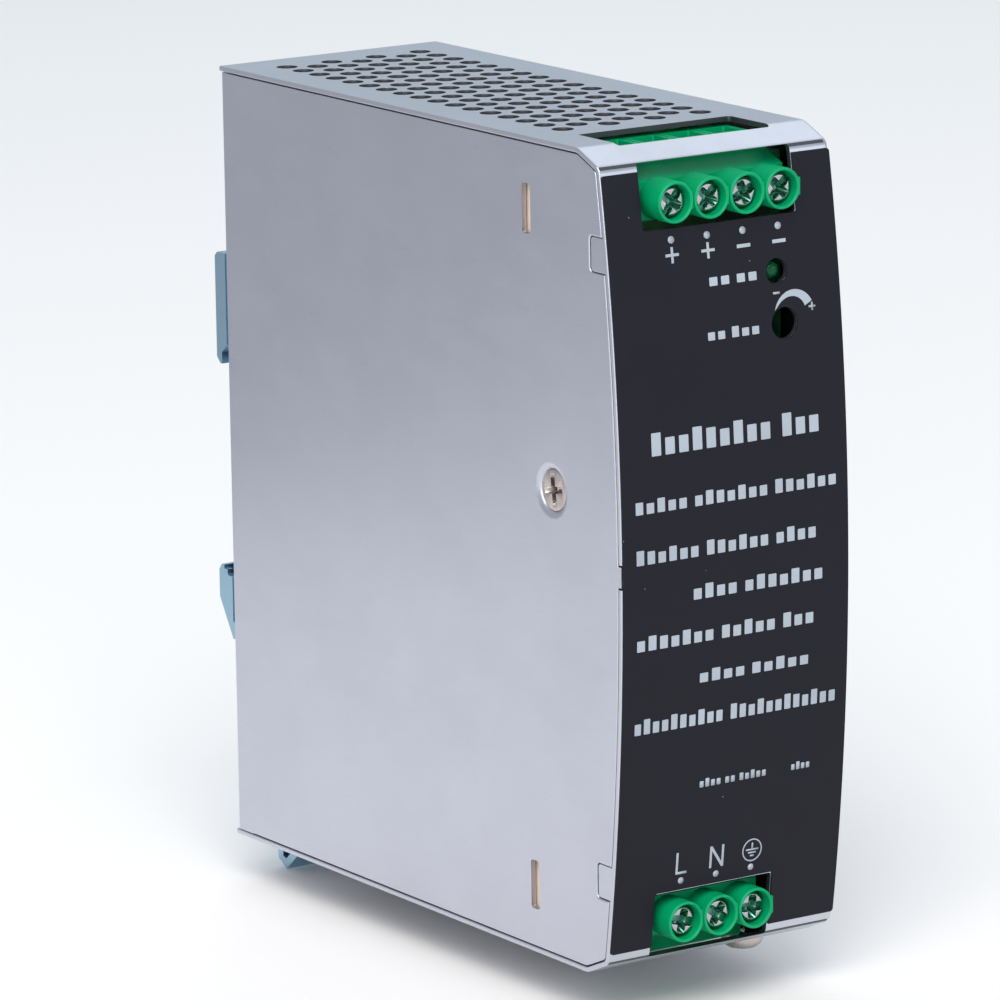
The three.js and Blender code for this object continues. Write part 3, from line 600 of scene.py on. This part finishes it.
def outline(inset, rear=0.0):
    """The case in side view as (depth, z) points, inset from its outer face, with rounded bends."""
    slope = math.pi / 2 - BEVEL_ANGLE
    normal = (math.cos(slope), math.sin(slope))
    top = (BEVEL_START - BEND_TOP * math.tan(BEVEL_ANGLE / 2), CASE_H - BEND_TOP)
    # The front bend touches the bevel's line and the bow: its centre lies BEND_FRONT inside both.
    offset = normal[0] * BEVEL_START + normal[1] * CASE_H - BEND_FRONT
    reach = BOW_RADIUS - BEND_FRONT
    to_line = offset - normal[0] * BOW_CENTRE - normal[1] * MID_H
    turn = math.acos(to_line / reach)
    low = slope - turn
    front = (BOW_CENTRE + reach * math.cos(low), MID_H + reach * math.sin(low))
    upper = [(rear, CASE_H - inset)]
    upper += arc(top, BEND_TOP - inset, math.pi / 2, slope)
    upper += arc(front, BEND_FRONT - inset, slope, low)
    bow = arc((BOW_CENTRE, MID_H), BOW_RADIUS - inset, low, -low, BOW_STEPS)[1:-1]
    lower = [(depth, CASE_H - z) for depth, z in reversed(upper)]
    return upper + bow + lower


def bow_depth(z, lift=0.0):
    return BOW_CENTRE + math.sqrt((BOW_RADIUS + lift) ** 2 - (z - MID_H) ** 2)


def hollow_body(inset, x_wall, bend, rear, edge):
    """The case's outline carried from its open side to x_wall, with its far edge bent round.

    A positive edge rounds the open side. A negative one flares it, for a shape to be cut away.
    """
    rings = []
    if edge < 0:
        rings.append([(-HALF_W - 1, *p) for p in outline(inset + edge, rear)])
    for inward, short in quarter_round(abs(edge)):
        ring = outline(inset + math.copysign(short, edge), rear)
        rings.append([(-HALF_W + inward, *p) for p in ring])
    for step in range(BEND_STEPS + 1):
        angle = math.pi / 2 * step / BEND_STEPS
        x = x_wall - bend * (1 - math.sin(angle))
        ring = outline(inset + bend * (1 - math.cos(angle)), rear)
        rings.append([(x, *p) for p in ring])
    return loft(rings)


# ------------------------ chassis shell
def mark_faces(thing, chosen):
    """Marks the faces whose middle, as (x, depth, z), is chosen. Materials read the mark."""
    layer = thing.data.attributes.new(MARK, "FLOAT", "FACE")
    for face in thing.data.polygons:
        spot = (face.center - ORIGIN) / MM
        layer.data[face.index].value = float(chosen(spot.x, -spot.y, spot.z))


def within_sheet(x, depth, z):
    """True on the walls of windows and holes, which lie inside the sheet's thickness."""
    margin = SHEET * 0.08
    slope = math.pi / 2 - BEVEL_ANGLE
    high = max(z, CASE_H - z)
    below = min(
        CASE_H - high,
        BOW_RADIUS - math.hypot(depth - BOW_CENTRE, z - MID_H),
        (BEVEL_START - depth) * math.cos(slope) + (CASE_H - high) * math.sin(slope),
    )
    return margin < below < SHEET - margin and abs(x) < HALF_W - SHEET and depth > SHEET


def perforation(z, first, rows):
    holes = []
    for column in range(HOLE_COLUMNS):
        odd = column % 2
        x = HOLE_FIRST_X + column * ROW_STEP
        for row in range(rows - odd):
            depth = first + (row + odd / 2) * HOLE_PITCH
            holes.append(turned(rod(HOLE_RADIUS, z - 2, z + 2), (x, depth, z), "z", 20))
    return merged(holes)


def chassis_shell():
    outer = hollow_body(0, HALF_W, BEND_SIDE, 0, EDGE)
    inner = hollow_body(SHEET, HALF_W - SHEET, 0.3, -1, -EDGE)
    tabs = []
    for z in TAB_ZS:
        low, high = z - TAB_HEIGHT / 2, z + TAB_HEIGHT / 2
        root = min(bow_depth(low), bow_depth(high)) - SHEET / 4

        def shape(inset, root=root, low=low, high=high):
            points = rounded(TAB_DEPTH + inset, root + 2, low + inset, high - inset, TAB_RADIUS)
            return [(min(depth, root), z) for depth, z in points]

        tabs.append(eased_plate(shape, -HALF_W + TAB_SUNK, -HALF_W + SHEET, EDGE / 2))
    out_left, out_right = OUT_WINDOW["left"], OUT_WINDOW["right"]
    in_left, in_right = IN_WINDOW["left"], IN_WINDOW["right"]
    out_front = rounded(out_left, out_right, OUT_WINDOW["low"], OUT_WINDOW["high"], 0.5)
    in_front = rounded(in_left, in_right, IN_WINDOW["low"], IN_WINDOW["high"], 0.4)
    windows = [
        front_plate(out_front, *FRONT_TOOLS),
        front_plate(in_front, *FRONT_TOOLS),
        flat_plate(rounded(out_left, out_right, *WIRE_WINDOW, 0.6), CASE_H - 3, CASE_H + 1),
        flat_plate(rounded(in_left, in_right - GAP, *WIRE_WINDOW, 0.6), -1, 3),
    ]
    holes = [
        turned(rod(LED_HOLE, FRONT - 8, FRONT + 1), LED, "depth"),
        turned(rod(TRIM_HOLE, FRONT - 8, FRONT + 1), TRIM, "depth"),
        turned(rod(BOTTOM_HOLE, -1, 2), BOTTOM_SCREW, "z"),
    ]
    key = box(-HALF_W - 1, -HALF_W + SHEET + GAP, FRONT - 2 * SHEET, FRONT + 1,
              KEY_Z - KEY_HEIGHT / 2 - GAP, KEY_Z + KEY_HEIGHT / 2 + GAP)
    body = join(cut(outer, inner), *tabs)
    return cut(body, *windows, *holes, key, perforation(**TOP_VENTS), perforation(**BOTTOM_VENTS))


case_shell = piece("case_shell", chassis_shell(), MATERIALS["case_sheet"], "chassis_shell",
                   bevel=0.17, segments=3)
# The walls of its windows and holes are marked for the sheet's painted shade.
mark_faces(case_shell, within_sheet)


# ------------------------ side cover
def rear_corner(joint, past, bend=1.1):
    """The rear wall and its bend as (x, depth), from where it joins the side to its far edge."""
    inside = -HALF_W + SHEET
    inner = bend - SHEET
    return [
        (-HALF_W, joint),
        *arc((-HALF_W + bend, bend), bend, math.pi, 1.5 * math.pi),
        (HALF_W - past, 0),
        (HALF_W - past, SHEET),
        *arc((inside + inner, SHEET + inner), inner, 1.5 * math.pi, math.pi),
        (inside, joint),
    ]


def side_cover():
    past = SHEET + SEAM
    rim, inside = -HALF_W, -HALF_W + SHEET
    joint = 5.0  # depth where the flat side meets the rear corner
    plate = eased_plate(lambda inset: outline(past + inset, joint - 0.1), rim, inside, EDGE)
    rear = flat_plate(rear_corner(joint, past), past, CASE_H - past)
    key = box(rim, inside, FRONT - 3, FRONT - LABEL_LIFT,
              KEY_Z - KEY_HEIGHT / 2, KEY_Z + KEY_HEIGHT / 2)
    boss = turned([(0, rim + 0.1), (4.3, rim + 0.1), (3.9, rim + 1.1), (2.8, rim + 2.2), (0, rim + 2.2)],
                  SIDE_SCREW, "x")
    dish = turned([(0, rim - 0.2), (4.3, rim - 0.2), (4.3, rim), (4.0, rim + 0.02), (3.7, rim + 0.1),
                   (3.3, rim + 0.32), (2.4, rim + 1.6), (2, rim + 2.5), (0, rim + 2.5)],
                  SIDE_SCREW, "x", 56)
    notches = []
    for z in TAB_ZS:
        low, high = z - NOTCH_HEIGHT / 2, z + NOTCH_HEIGHT / 2

        def notch(inset, low=low, high=high):
            return rounded(NOTCH_DEPTH + inset, FRONT + 3, low + inset, high - inset, 0.7)

        notches.append(eased_opening(notch, rim, inside + 1, EDGE))
    slots = []
    for z in SLOT_ZS:
        wide, tall = SLOT_SIZE
        slot = rounded(SLOT_DEPTH, SLOT_DEPTH + wide, z - tall / 2, z + tall / 2, 0.45)
        slots.append(side_plate(slot, rim - 1, inside + 1))
    rivets = [turned(rod(RIVET_HOLE, -1, 2), middle(node), "depth", 32)
              for node in BODY_OF if "_rivet_" in node]
    spring_tongue = box(-1.4, 1.4, -2.5, 0.2, 9.0, 9.8)
    body = join(plate, rear, key, boss)
    return join(cut(body, dish, *notches, *slots, *rivets), spring_tongue)


piece("case_cover", side_cover(), MATERIALS["case_sheet"], "side_cover", bevel=0.17, segments=3)


# ------------------------ label and its print
def label_skin():
    steps = 48
    back, face = [], []
    for i in range(steps + 1):
        z = LABEL_HIGH + (LABEL_LOW - LABEL_HIGH) * i / steps
        back.append((bow_depth(z, LABEL_LIFT), z))
        face.append((bow_depth(z, LABEL_LIFT + LABEL_THICK), z))
    skin = side_plate(back + face[::-1], LABEL_LEFT, LABEL_RIGHT)
    corners = rounded(LABEL_LEFT, LABEL_RIGHT, LABEL_LOW, LABEL_HIGH, 0.5)
    skin = combined("INTERSECT", skin, [front_plate(corners, *LABEL_TOOLS)])
    output = rounded(LABEL_OUTPUT["left"], LABEL_OUTPUT["right"], LABEL_OUTPUT["low"], CASE_H + 3, 0.4)
    supply = rounded(LABEL_INPUT["left"], LABEL_INPUT["right"], -3, LABEL_INPUT["high"], 0.4)
    lip = 0.02  # the film reaches this far into the sheet's holes
    return cut(
        skin,
        front_plate(output, *LABEL_TOOLS),
        front_plate(supply, *LABEL_TOOLS),
        turned(rod(LED_HOLE - lip, *LABEL_TOOLS), LED, "depth", 48),
        turned(rod(TRIM_HOLE - lip, *LABEL_TOOLS), TRIM, "depth", 48),
    )


piece("label_film", label_skin(), MATERIALS["label"], "front_label", bevel=0.04)

INK = 0.035  # the print stands this proud of the film
INK_SUNK = 0.02


def patch(points):
    """A flat shape in (x, z) laid on the bowed label as raised ink."""
    film_face = LABEL_LIFT + LABEL_THICK
    rings = []
    for lift in (film_face - INK_SUNK, film_face + INK):
        rings.append([(x, bow_depth(z, lift), z) for x, z in points])
    return loft(rings)


def bar(x0, x1, z0, z1, radius=0.0):
    if radius:
        return patch(rounded(x0, x1, z0, z1, radius, 3))
    return patch([(x0, z0), (x1, z0), (x1, z1), (x0, z1)])


def dot(x, z, radius):
    return patch(arc((x, z), radius, 0, 2 * math.pi, 24)[:-1])


def stroke(x0, z0, x1, z1, width):
    along = Vector((x1 - x0, z1 - z0)).normalized() * width / 2
    side = Vector((-along.y, along.x))
    a, b = Vector((x0, z0)), Vector((x1, z1))
    return patch([tuple(a + side), tuple(a - side), tuple(b - side), tuple(b + side)])


def cross(x, z, size, width):
    h, w = size / 2, width / 2
    return patch([(x - h, z - w), (x - w, z - w), (x - w, z - h), (x + w, z - h), (x + w, z - w),
                  (x + h, z - w), (x + h, z + w), (x + w, z + w), (x + w, z + h), (x - w, z + h),
                  (x - w, z + w), (x - h, z + w)])


def ring(x, z, radius, width, sides=32):
    """A circle drawn with a line, in short straight pieces."""
    inner = arc((x, z), radius - width / 2, 0, 2 * math.pi, sides)
    outer = arc((x, z), radius + width / 2, 0, 2 * math.pi, sides)
    return merged([patch([inner[i], outer[i], outer[i + 1], inner[i + 1]]) for i in range(sides)])


POLES = {
    row: [middle(f"{row}_screw_{i + 1}") for i in range(count)]
    for row, count in (("output", 4), ("input", 3))
}
WIRE_WAY = {"output": 1, "input": -1}  # the wires enter from above or from below
PLUS_Z = 107.57
PLUS_SIZE = 2.35
PLUS_LINE = 0.42
MINUS_HALF = 1.2
MINUS_HEIGHTS = (107.3, 107.82)
DOTS = {"output": (109.8, 0.55), "input": (13.75, 0.5)}  # height and radius


def terminal_signs():
    """A dot at every terminal, with a plus or a minus at the output ones."""
    made = [dot(pole.x, *DOTS[row]) for row, poles in POLES.items() for pole in poles]
    for i, pole in enumerate(POLES["output"]):
        if i < 2:
            made.append(cross(pole.x, PLUS_Z, PLUS_SIZE, PLUS_LINE))
        else:
            made.append(bar(pole.x - MINUS_HALF, pole.x + MINUS_HALF, *MINUS_HEIGHTS))
    return made


BLOCK_HEIGHTS = (1.0, 0.74, 0.74, 1.0, 0.74, 0.88)  # as shares of a row's height, in turn


def word_row(left, right, low, high, words):
    """Plain blocks that stand for a row of print. words are the numbers of blocks in its words."""
    gap = (high - low) * 0.42
    unit = (right - left - gap * (len(words) - 1)) / sum(words)
    x = left
    made = []
    for length in words:
        for i in range(length):
            top = low + (high - low) * BLOCK_HEIGHTS[(i * 5 + length) % len(BLOCK_HEIGHTS)]
            made.append(bar(x + unit * 0.16, x + unit * 0.84, low, top, min(0.12, unit * 0.2)))
            x += unit
        x += gap
    return made


ROWS = (  # left, right, low, high and words
    (-3.4, 5.7, 102.35, 104.05, (2, 2)),
    (-4.2, 5.5, 94.5, 96.1, (2, 3)),
    (-15.2, 15.5, 78.9, 82.3, (9, 3)),
    (-18.25, 18.3, 70.6, 72.7, (5, 7, 6)),
    (-18.25, 14.5, 63.1, 65.3, (6, 6, 4)),
    (-8.2, 15.7, 56.7, 58.9, (4, 7)),
    (-18.25, 14.1, 50.2, 52.4, (7, 5, 3)),
    (-7, 13.3, 44.0, 45.9, (4, 5)),
    (-18.4, 18.3, 37.6, 39.9, (10, 12)),
    (-6.25, 6.05, 27.8, 29.1, (4, 2, 5)),
    (10.4, 14, 27.85, 29.05, (4,)),
)
LETTERS = (14.8, 18.2)  # heights between which L and N stand
LETTER_LINE = 0.38


def supply_letters():
    """L and N by the supply terminals."""
    low, high = LETTERS
    l_left, l_right = -9.45, -7.65
    n_left, n_right = -3.35, -1.2
    foot = low + 0.17
    made = [stroke(x, low, x, high, LETTER_LINE) for x in (l_left, n_left, n_right)]
    made.append(stroke(l_left - LETTER_LINE / 2, foot, l_right, foot, LETTER_LINE))
    made.append(stroke(n_left, high - 0.1, n_right, low + 0.1, 0.42))
    return made


def earth_sign(x, z):
    """The generic earth sign: a stem over three bars, in a circle."""
    made = [ring(x, z, 1.68, 0.2), bar(x - 0.13, x + 0.13, z + 0.2, z + 1.15)]
    for i, half in enumerate((1.12, 0.72, 0.34)):
        line = z + 0.1 - 0.48 * i
        made.append(bar(x - half, x + half, line - 0.12, line + 0.12))
    return made


WEDGE_CENTRE = (11.75, 96.67)
WEDGE_RADIUS = 3.58
WEDGE_ANGLES = (166, 27)  # degrees, from its point to its wide end
WEDGE_WIDTH = (0.02, 1.42)  # at its point, and what it gains


def wedge(steps=20):
    """The trimmer's mark: an arc that widens towards the high end."""
    outer, inner = [], []
    first, last = WEDGE_ANGLES
    for i in range(steps + 1):
        share = i / steps
        angle = math.radians(first + (last - first) * share)
        width = WEDGE_WIDTH[0] + WEDGE_WIDTH[1] * share ** 0.62
        for line, radius in ((outer, WEDGE_RADIUS), (inner, WEDGE_RADIUS - width)):
            line.append((WEDGE_CENTRE[0] + radius * math.cos(angle),
                         WEDGE_CENTRE[1] + radius * math.sin(angle)))
    return patch(outer + inner[::-1])


marks = terminal_signs()
for row in ROWS:
    marks += word_row(*row)
marks += supply_letters()
marks += earth_sign(POLES["input"][2].x + 0.07, 16.4)
marks += [wedge(), bar(8.1, 9.3, 99.88, 100.2), cross(14.95, 97.42, 1.2, 0.3)]
piece("label_print", merged(marks), PRINT_INK, "front_label", bevel=0)


# ------------------------ terminals
POLE_PITCH = 6.35
BLOCK_FACE = 102.2  # depth of the moulding's face, between its towers
BLIND_SIDE = 3.25  # heights from the screws' line: to the closed side,
WIRE_SIDE = 6.6  # to the side where the wires enter,
RIDGE_SIDE = 4.5  # to the ridge in front of the wires,
SLOPE_SIDE = 2.75  # and to the start of the slope up to it
RIDGE_FRONT = 98.2
TOWER_RADIUS = 3.1
TOWER_BORE = 2.6
SCREW_SEAT = 103.9
SHANK_BORE = 1.7
ROOM_HALF = 2.7  # half widths of the clamp's room, the wire's entry and the pin's slot
ENTRY_HALF = 2.3
PIN_HALF = 1.5
ROOM_DEPTHS = (88.7, 97.6)
ENTRY_DEPTHS = (89.2, 93.5)


def terminal_outline(row, back):
    """The moulding's (depth, z) outline, which the input row has upside down."""
    way = WIRE_WAY[row]
    corners = ((back, -BLIND_SIDE), (BLOCK_FACE, -BLIND_SIDE), (BLOCK_FACE, SLOPE_SIDE),
               (RIDGE_FRONT, RIDGE_SIDE), (RIDGE_FRONT, WIRE_SIDE), (back, WIRE_SIDE))
    return [(depth, POLES[row][0].z + way * height) for depth, height in corners]


def work_bevel(mesh, width, segments=2):
    """A mesh with its sharp edges rounded, for a shape that is still to be cut."""
    work = bpy.data.objects.new("work", mesh)
    bpy.context.scene.collection.objects.link(work)
    bevel = work.modifiers.new("bevel", "BEVEL")
    bevel.width = width * MM
    bevel.segments = segments
    bevel.limit_method = "ANGLE"
    bevel.angle_limit = math.radians(20)
    made = baked(work)
    bpy.data.objects.remove(work)
    return made


def tower(pole, top):
    """A screw's tower and the rib that ties it to its neighbour."""
    column = turned([(0, BLOCK_FACE - 1), (TOWER_RADIUS, BLOCK_FACE - 1), (TOWER_RADIUS, top - 0.18),
                     (TOWER_RADIUS - 0.15, top), (0, top)], pole, "depth", 40)
    rib = box(pole.x + 2.7, pole.x + 3.3, BLOCK_FACE - 0.5, top - 0.4, pole.z - 1.3, pole.z + 1.3)
    return [column, rib]


def tower_socket(pole, top):
    """The recess in a tower, from its flared mouth to the screw's seat."""
    mouth = TOWER_BORE + 0.2
    return turned([(0, SCREW_SEAT), (TOWER_BORE, SCREW_SEAT), (TOWER_BORE, top - 0.25), (mouth, top + 0.02),
                   (mouth, top + 1), (0, top + 1)], pole, "depth", 40)


def terminal_rooms(pole, way, back, top):
    """What is cut out behind one tower: screw bore, clamp room, wire entry and the slot for its pin."""
    def heights(a, b):
        return sorted((pole.z + way * a, pole.z + way * b))

    wire_entry = rounded(pole.x - ENTRY_HALF, pole.x + ENTRY_HALF, *ENTRY_DEPTHS, 0.3)
    return [
        tower_socket(pole, top),
        turned(rod(SHANK_BORE, 96, SCREW_SEAT + 0.6), pole, "depth", 24),
        box(pole.x - ROOM_HALF, pole.x + ROOM_HALF, *ROOM_DEPTHS, *heights(-2.85, 2.8)),
        flat_plate(wire_entry, *heights(2.5, WIRE_SIDE + 1)),
        box(pole.x - PIN_HALF, pole.x + PIN_HALF, back - 1, 89, *heights(-3, -1.95)),
    ]


def dividing_groove(pole, way, back):
    """The shallow groove between a pole and the next, on the wires' side."""
    x = pole.x + POLE_PITCH / 2
    heights = sorted((pole.z + way * (WIRE_SIDE - 0.3), pole.z + way * (WIRE_SIDE + 0.4)))
    return box(x - 0.16, x + 0.16, back - 1, RIDGE_FRONT - 0.2, *heights)


def terminal_body(row):
    low, high = extent(f"{row}_terminal_body")
    back, top = low.y, high.y
    poles = POLES[row]
    way = WIRE_WAY[row]
    block = work_bevel(side_plate(terminal_outline(row, back), low.x, high.x), 0.2)
    towers = [part for pole in poles for part in tower(pole, top)]
    tools = []
    for pole in poles:
        tools += terminal_rooms(pole, way, back, top)
        if pole is not poles[-1]:
            tools.append(dividing_groove(pole, way, back))
    return cut(join(block, *towers), *tools)


for row in POLES:
    name = f"{row}_terminal_block"
    piece(name, terminal_body(row), MATERIALS["terminal_green"], f"{row}_terminal_body", bevel=0.08)


RECESS_OVER = 0.05  # a recess is cut from this far outside the screw's face
RECESS_FLOOR = (0.55, 0.62)  # length and width of an arm at its floor, as shares of those at its mouth


def cross_recess(centre, axis, face, outward, length, width, deep, turn):
    """The tapered, rounded arms of a cross recess, to be cut from a screw."""
    arms = []
    for angle in (turn, turn + math.pi / 2):
        rings = []
        for level, along, across in ((face + outward * RECESS_OVER, 1, 1),
                                     (face - outward * deep, *RECESS_FLOOR)):
            half_length, half_width = length / 2 * along, width / 2 * across
            points = []
            for u, v in rounded(-half_length, half_length, -half_width, half_width, width / 4, 3):
                a = u * math.cos(angle) - v * math.sin(angle)
                b = u * math.sin(angle) + v * math.cos(angle)
                if axis == "depth":
                    points.append((centre[0] + a, level, centre[2] + b))
                elif axis == "x":
                    points.append((level, centre[1] + a, centre[2] + b))
                else:
                    points.append((centre[0] + a, centre[1] + b, level))
            rings.append(points)
        arms.append(loft(rings))
    return arms


HEAD_RADIUS = 2.28
HEAD_DEEP = 2  # from the head's face to its shank
SLOT_HALF = 0.62
SLOT_DEEP = 1.1
RECESS_REACH = 2.05  # faces further out than this belong to the head's rim


def terminal_screw(pole, face, turn):
    """A clamp screw whose head has a cross recess with a wider slot across it."""
    body = turned([(0, 93.5), (1.1, 93.5), (1.35, 93.8), (1.35, face - HEAD_DEEP),
                   (HEAD_RADIUS, face - HEAD_DEEP), (HEAD_RADIUS, face - 0.55),
                   (HEAD_RADIUS - 0.1, face - 0.25), (1.9, face - 0.04), (1.75, face), (0, face)],
                  pole, "depth", 40)
    arms = cross_recess(pole, "depth", face, 1, 3.7, 1.45, 2.0, turn)
    corners = ((-3, -SLOT_HALF), (3, -SLOT_HALF), (3, SLOT_HALF), (-3, SLOT_HALF))
    slot = []
    for u, v in corners:
        slot.append((pole.x + u * math.cos(turn) - v * math.sin(turn),
                     pole.z + u * math.sin(turn) + v * math.cos(turn)))
    return cut(body, *arms, front_plate(slot, face - SLOT_DEEP, face + 0.1))


TURNS = {"output": (0.95, 0.9, 0.42, 0.8), "input": (-0.25, -0.6, -0.05)}  # each cross at rest, radians
for row, poles in POLES.items():
    for i, pole in enumerate(poles):
        node = f"{row}_screw_{i + 1}"
        face = extent(node)[1].y
        screw = piece(f"{row}_clamp_screw_{i + 1}", terminal_screw(pole, face, TURNS[row][i]),
                      CLAMP_STEEL, node, bevel=0.05, segments=1)

        def recessed(x, depth, z, pole=pole, face=face):
            return depth < face - 0.1 and math.hypot(x - pole.x, z - pole.z) < RECESS_REACH

        # The recess faces take the clamp steel's painted shade and painted green reflection.
        mark_faces(screw, recessed)


# ------------------------ case screws
def side_screw():
    face = extent("side_cover_screw")[0].x
    body = turned([(0, face), (2.95, face), (3.1, face + 0.08), (3.12, face + 0.18), (1.55, face + 1.6),
                   (1.55, -11.3), (1.2, -11), (0, -11)], SIDE_SCREW, "x", 48)
    arms = cross_recess(SIDE_SCREW, "x", face, -1, 4.5, 1.05, 2.4, math.radians(8))
    return cut(body, *arms)


piece("cover_screw", side_screw(), MATERIALS["screw_steel"], "side_cover_screw", bevel=0.05)


def under_screw():
    face = extent("bottom_screw")[0].z
    profile = [(0, face), (1.6, face), (2.3, face + 0.18), (2.85, face + 0.62), (3.12, face + 1.2),
               (3.2, face + 1.9), (3.2, -0.05), (1.5, -0.05), (1.5, 3.7), (1.2, 4), (0, 4)]
    arms = cross_recess(BOTTOM_SCREW, "z", face, -1, 3.4, 0.9, 1.7, 0.5)
    return cut(turned(profile, BOTTOM_SCREW, "z", 48), *arms)


piece("under_screw", under_screw(), MATERIALS["screw_steel"], "bottom_screw", bevel=0.05)

# ------------------------ lamp
LENS_TIP = 105.85
LEG_OFFSET = 1.27  # of each leg from the lamp's middle
LEG_HALF = 0.25
BEND_DEPTH = 98.3  # where the legs bend towards the board


def status_lamp():
    lens = turned([(0, 99.8), (LENS_RADIUS, 99.8), (LENS_RADIUS, 100.6), (1.5, 100.7), (1.5, 104.35),
                   (1.44, 104.8), (1.28, 105.2), (1.0, 105.53), (0.6, 105.75), (0, LENS_TIP)],
                  LED, "depth", 32)
    leg_end = extent("power_led")[1].x
    legs = []
    for offset in (-LEG_OFFSET, LEG_OFFSET):
        low, high = LED.z + offset - LEG_HALF, LED.z + offset + LEG_HALF
        legs.append(box(LED.x - LEG_HALF, LED.x + LEG_HALF, BEND_DEPTH, 100, low, high))
        legs.append(box(LED.x - 0.2, leg_end, BEND_DEPTH, BEND_DEPTH + 2 * LEG_HALF, low, high))
    return join(lens, *legs)


piece("status_lamp", status_lamp(), MATERIALS["led_green"], "power_led", bevel=0)

# ------------------------ latch spring
SPRING_TURNS = 9
SPRING_WIRE = 0.2  # radius of its wire
COIL_STEPS = 24
COIL_SIDES = 8


def latch_coil():
    """A compression spring whose first and last turns lie closed."""
    low, high = extent("latch_spring")
    centre = (low + high) / 2
    radius = (high.x - low.x) / 2 - SPRING_WIRE
    closed = 2.15 * SPRING_WIRE  # rise of a closed turn, just over the wire's thickness
    span = high.z - low.z - 2 * SPRING_WIRE
    spread = (span - 2 * closed) / (SPRING_TURNS - 2)
    rings = []
    for step in range(SPRING_TURNS * COIL_STEPS + 1):
        turn = step / COIL_STEPS
        end_turns = min(turn, 1) + max(turn - SPRING_TURNS + 1, 0)
        z = low.z + SPRING_WIRE + closed * end_turns + spread * (turn - end_turns)
        angle = 2 * math.pi * turn
        ring = []
        for side in range(COIL_SIDES):
            around = 2 * math.pi * side / COIL_SIDES
            out = radius + SPRING_WIRE * math.cos(around)
            ring.append((centre.x + out * math.cos(angle), centre.y + out * math.sin(angle),
                         z + SPRING_WIRE * math.sin(around)))
        rings.append(ring)
    return loft(rings)


# It shortens between its fixed lower end and the latch, so it isn't made by piece().
coil = bpy.data.objects.new("latch_coil", latch_coil())
bpy.context.scene.collection.objects.link(coil)
coil.data.shade_smooth()
coil.data.materials.append(MATERIALS["bright_steel"])
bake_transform(coil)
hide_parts("latch_spring")

# ------------------------ CAD nodes that stay as they are
for name, node in frame["nodes"].items():
    if node.hide_render:
        continue
    node.data.materials.clear()
    node.data.materials.append(MATERIALS[SLOT_OF[name]])
    soften(node, 0.12, 2, 35)

# ------------------------ floor, lights and camera
FLOOR_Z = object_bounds()[0].z - 0.0002


def stage_sheet(name, corners, **look):
    """A flat sheet of the stage, which isn't part of the object."""
    mesh = bpy.data.meshes.new(name)
    mesh.from_pydata(corners, [], [(0, 1, 2, 3)])
    sheet = bpy.data.objects.new(name, mesh)
    bpy.context.scene.collection.objects.link(sheet)
    mesh.materials.append(Nodes(name).set(**look))
    return sheet


stage_sheet("floor", [(-6, -6, FLOOR_Z), (6, -6, FLOOR_Z), (6, 6, FLOOR_Z), (-6, 6, FLOOR_Z)],
            Base_Color=(0.905, 0.875, 0.865, 1), Roughness=0.7)

world = bpy.data.worlds.new("studio")
bpy.context.scene.world = world
world.use_nodes = True
world.node_tree.nodes["Background"].inputs["Color"].default_value = (0.79, 0.91, 1.0, 1)
world.node_tree.nodes["Background"].inputs["Strength"].default_value = 0.665


def soft_light(name, place, target, size, power, color=(1, 1, 1)):
    lamp = bpy.data.lights.new(name, "AREA")
    lamp.shape = "RECTANGLE"
    lamp.size, lamp.size_y = size
    lamp.energy = power
    lamp.color = color
    holder = bpy.data.objects.new(name, lamp)
    bpy.context.scene.collection.objects.link(holder)
    holder.location = place
    aim = Vector(target) - Vector(place)
    holder.rotation_mode = "QUATERNION"
    holder.rotation_quaternion = aim.to_track_quat("-Z", "Y")


soft_light("overhead", (0.75, 0.55, 1.2), (0, -0.05, 0.03), (1.2, 1.0), 2.8)
soft_light("key", (-0.9, -1.2, 1.7), (0, -0.05, 0), (1.5, 1.5), 40, (1.0, 0.95, 0.90))
soft_light("fill", (1.3, -1.9, 0.35), (0, -0.05, 0), (1.6, 0.6), 3)
soft_light("edge", (-1.25, -1.45, 0.45), (0, -0.05, 0), (0.45, 0.7), 6)

# A grey card behind the supply, seen only in its reflections, darkens the upper part of the side
CARD_Y = 0.235
card = stage_sheet("card", [(-1.6, CARD_Y, FLOOR_Z), (0.05, CARD_Y, FLOOR_Z), (0.05, CARD_Y, 0.6),
                            (-1.6, CARD_Y, 0.6)],
                   Base_Color=(0.0, 0.0, 0.0, 1), Roughness=1.0,
                   Emission_Color=(0.91, 0.93, 1.0, 1), Emission_Strength=0.54)
card.visible_camera = False
card.visible_diffuse = False
card.visible_shadow = False

CAMERA_PLACE = Vector((-0.576625, -0.915955, 0.229228))
CAMERA_LENS = 249.9
AZIMUTH, ELEVATION, ROLL = map(math.radians, (-33.59, 12.39, -0.86))


def aim_camera():
    """Places the camera where the photograph was taken from."""
    forward = Vector((-math.sin(AZIMUTH) * math.cos(ELEVATION), math.cos(AZIMUTH) * math.cos(ELEVATION),
                      -math.sin(ELEVATION)))
    level = forward.cross(Vector((0, 0, 1))).normalized()
    upright = level.cross(forward)
    right = level * math.cos(ROLL) + upright * math.sin(ROLL)
    up = upright * math.cos(ROLL) - level * math.sin(ROLL)
    camera = bpy.data.objects.new("camera", bpy.data.cameras.new("camera"))
    bpy.context.scene.collection.objects.link(camera)
    camera.data.sensor_width = 36
    camera.data.lens = CAMERA_LENS
    camera.data.clip_start, camera.data.clip_end = 0.01, 100
    turn = Matrix((right, up, -forward)).transposed()
    camera.matrix_world = Matrix.Translation(CAMERA_PLACE) @ turn.to_4x4()
    bpy.context.scene.camera = camera


aim_camera()
bpy.context.scene.view_settings.view_transform = "Standard"
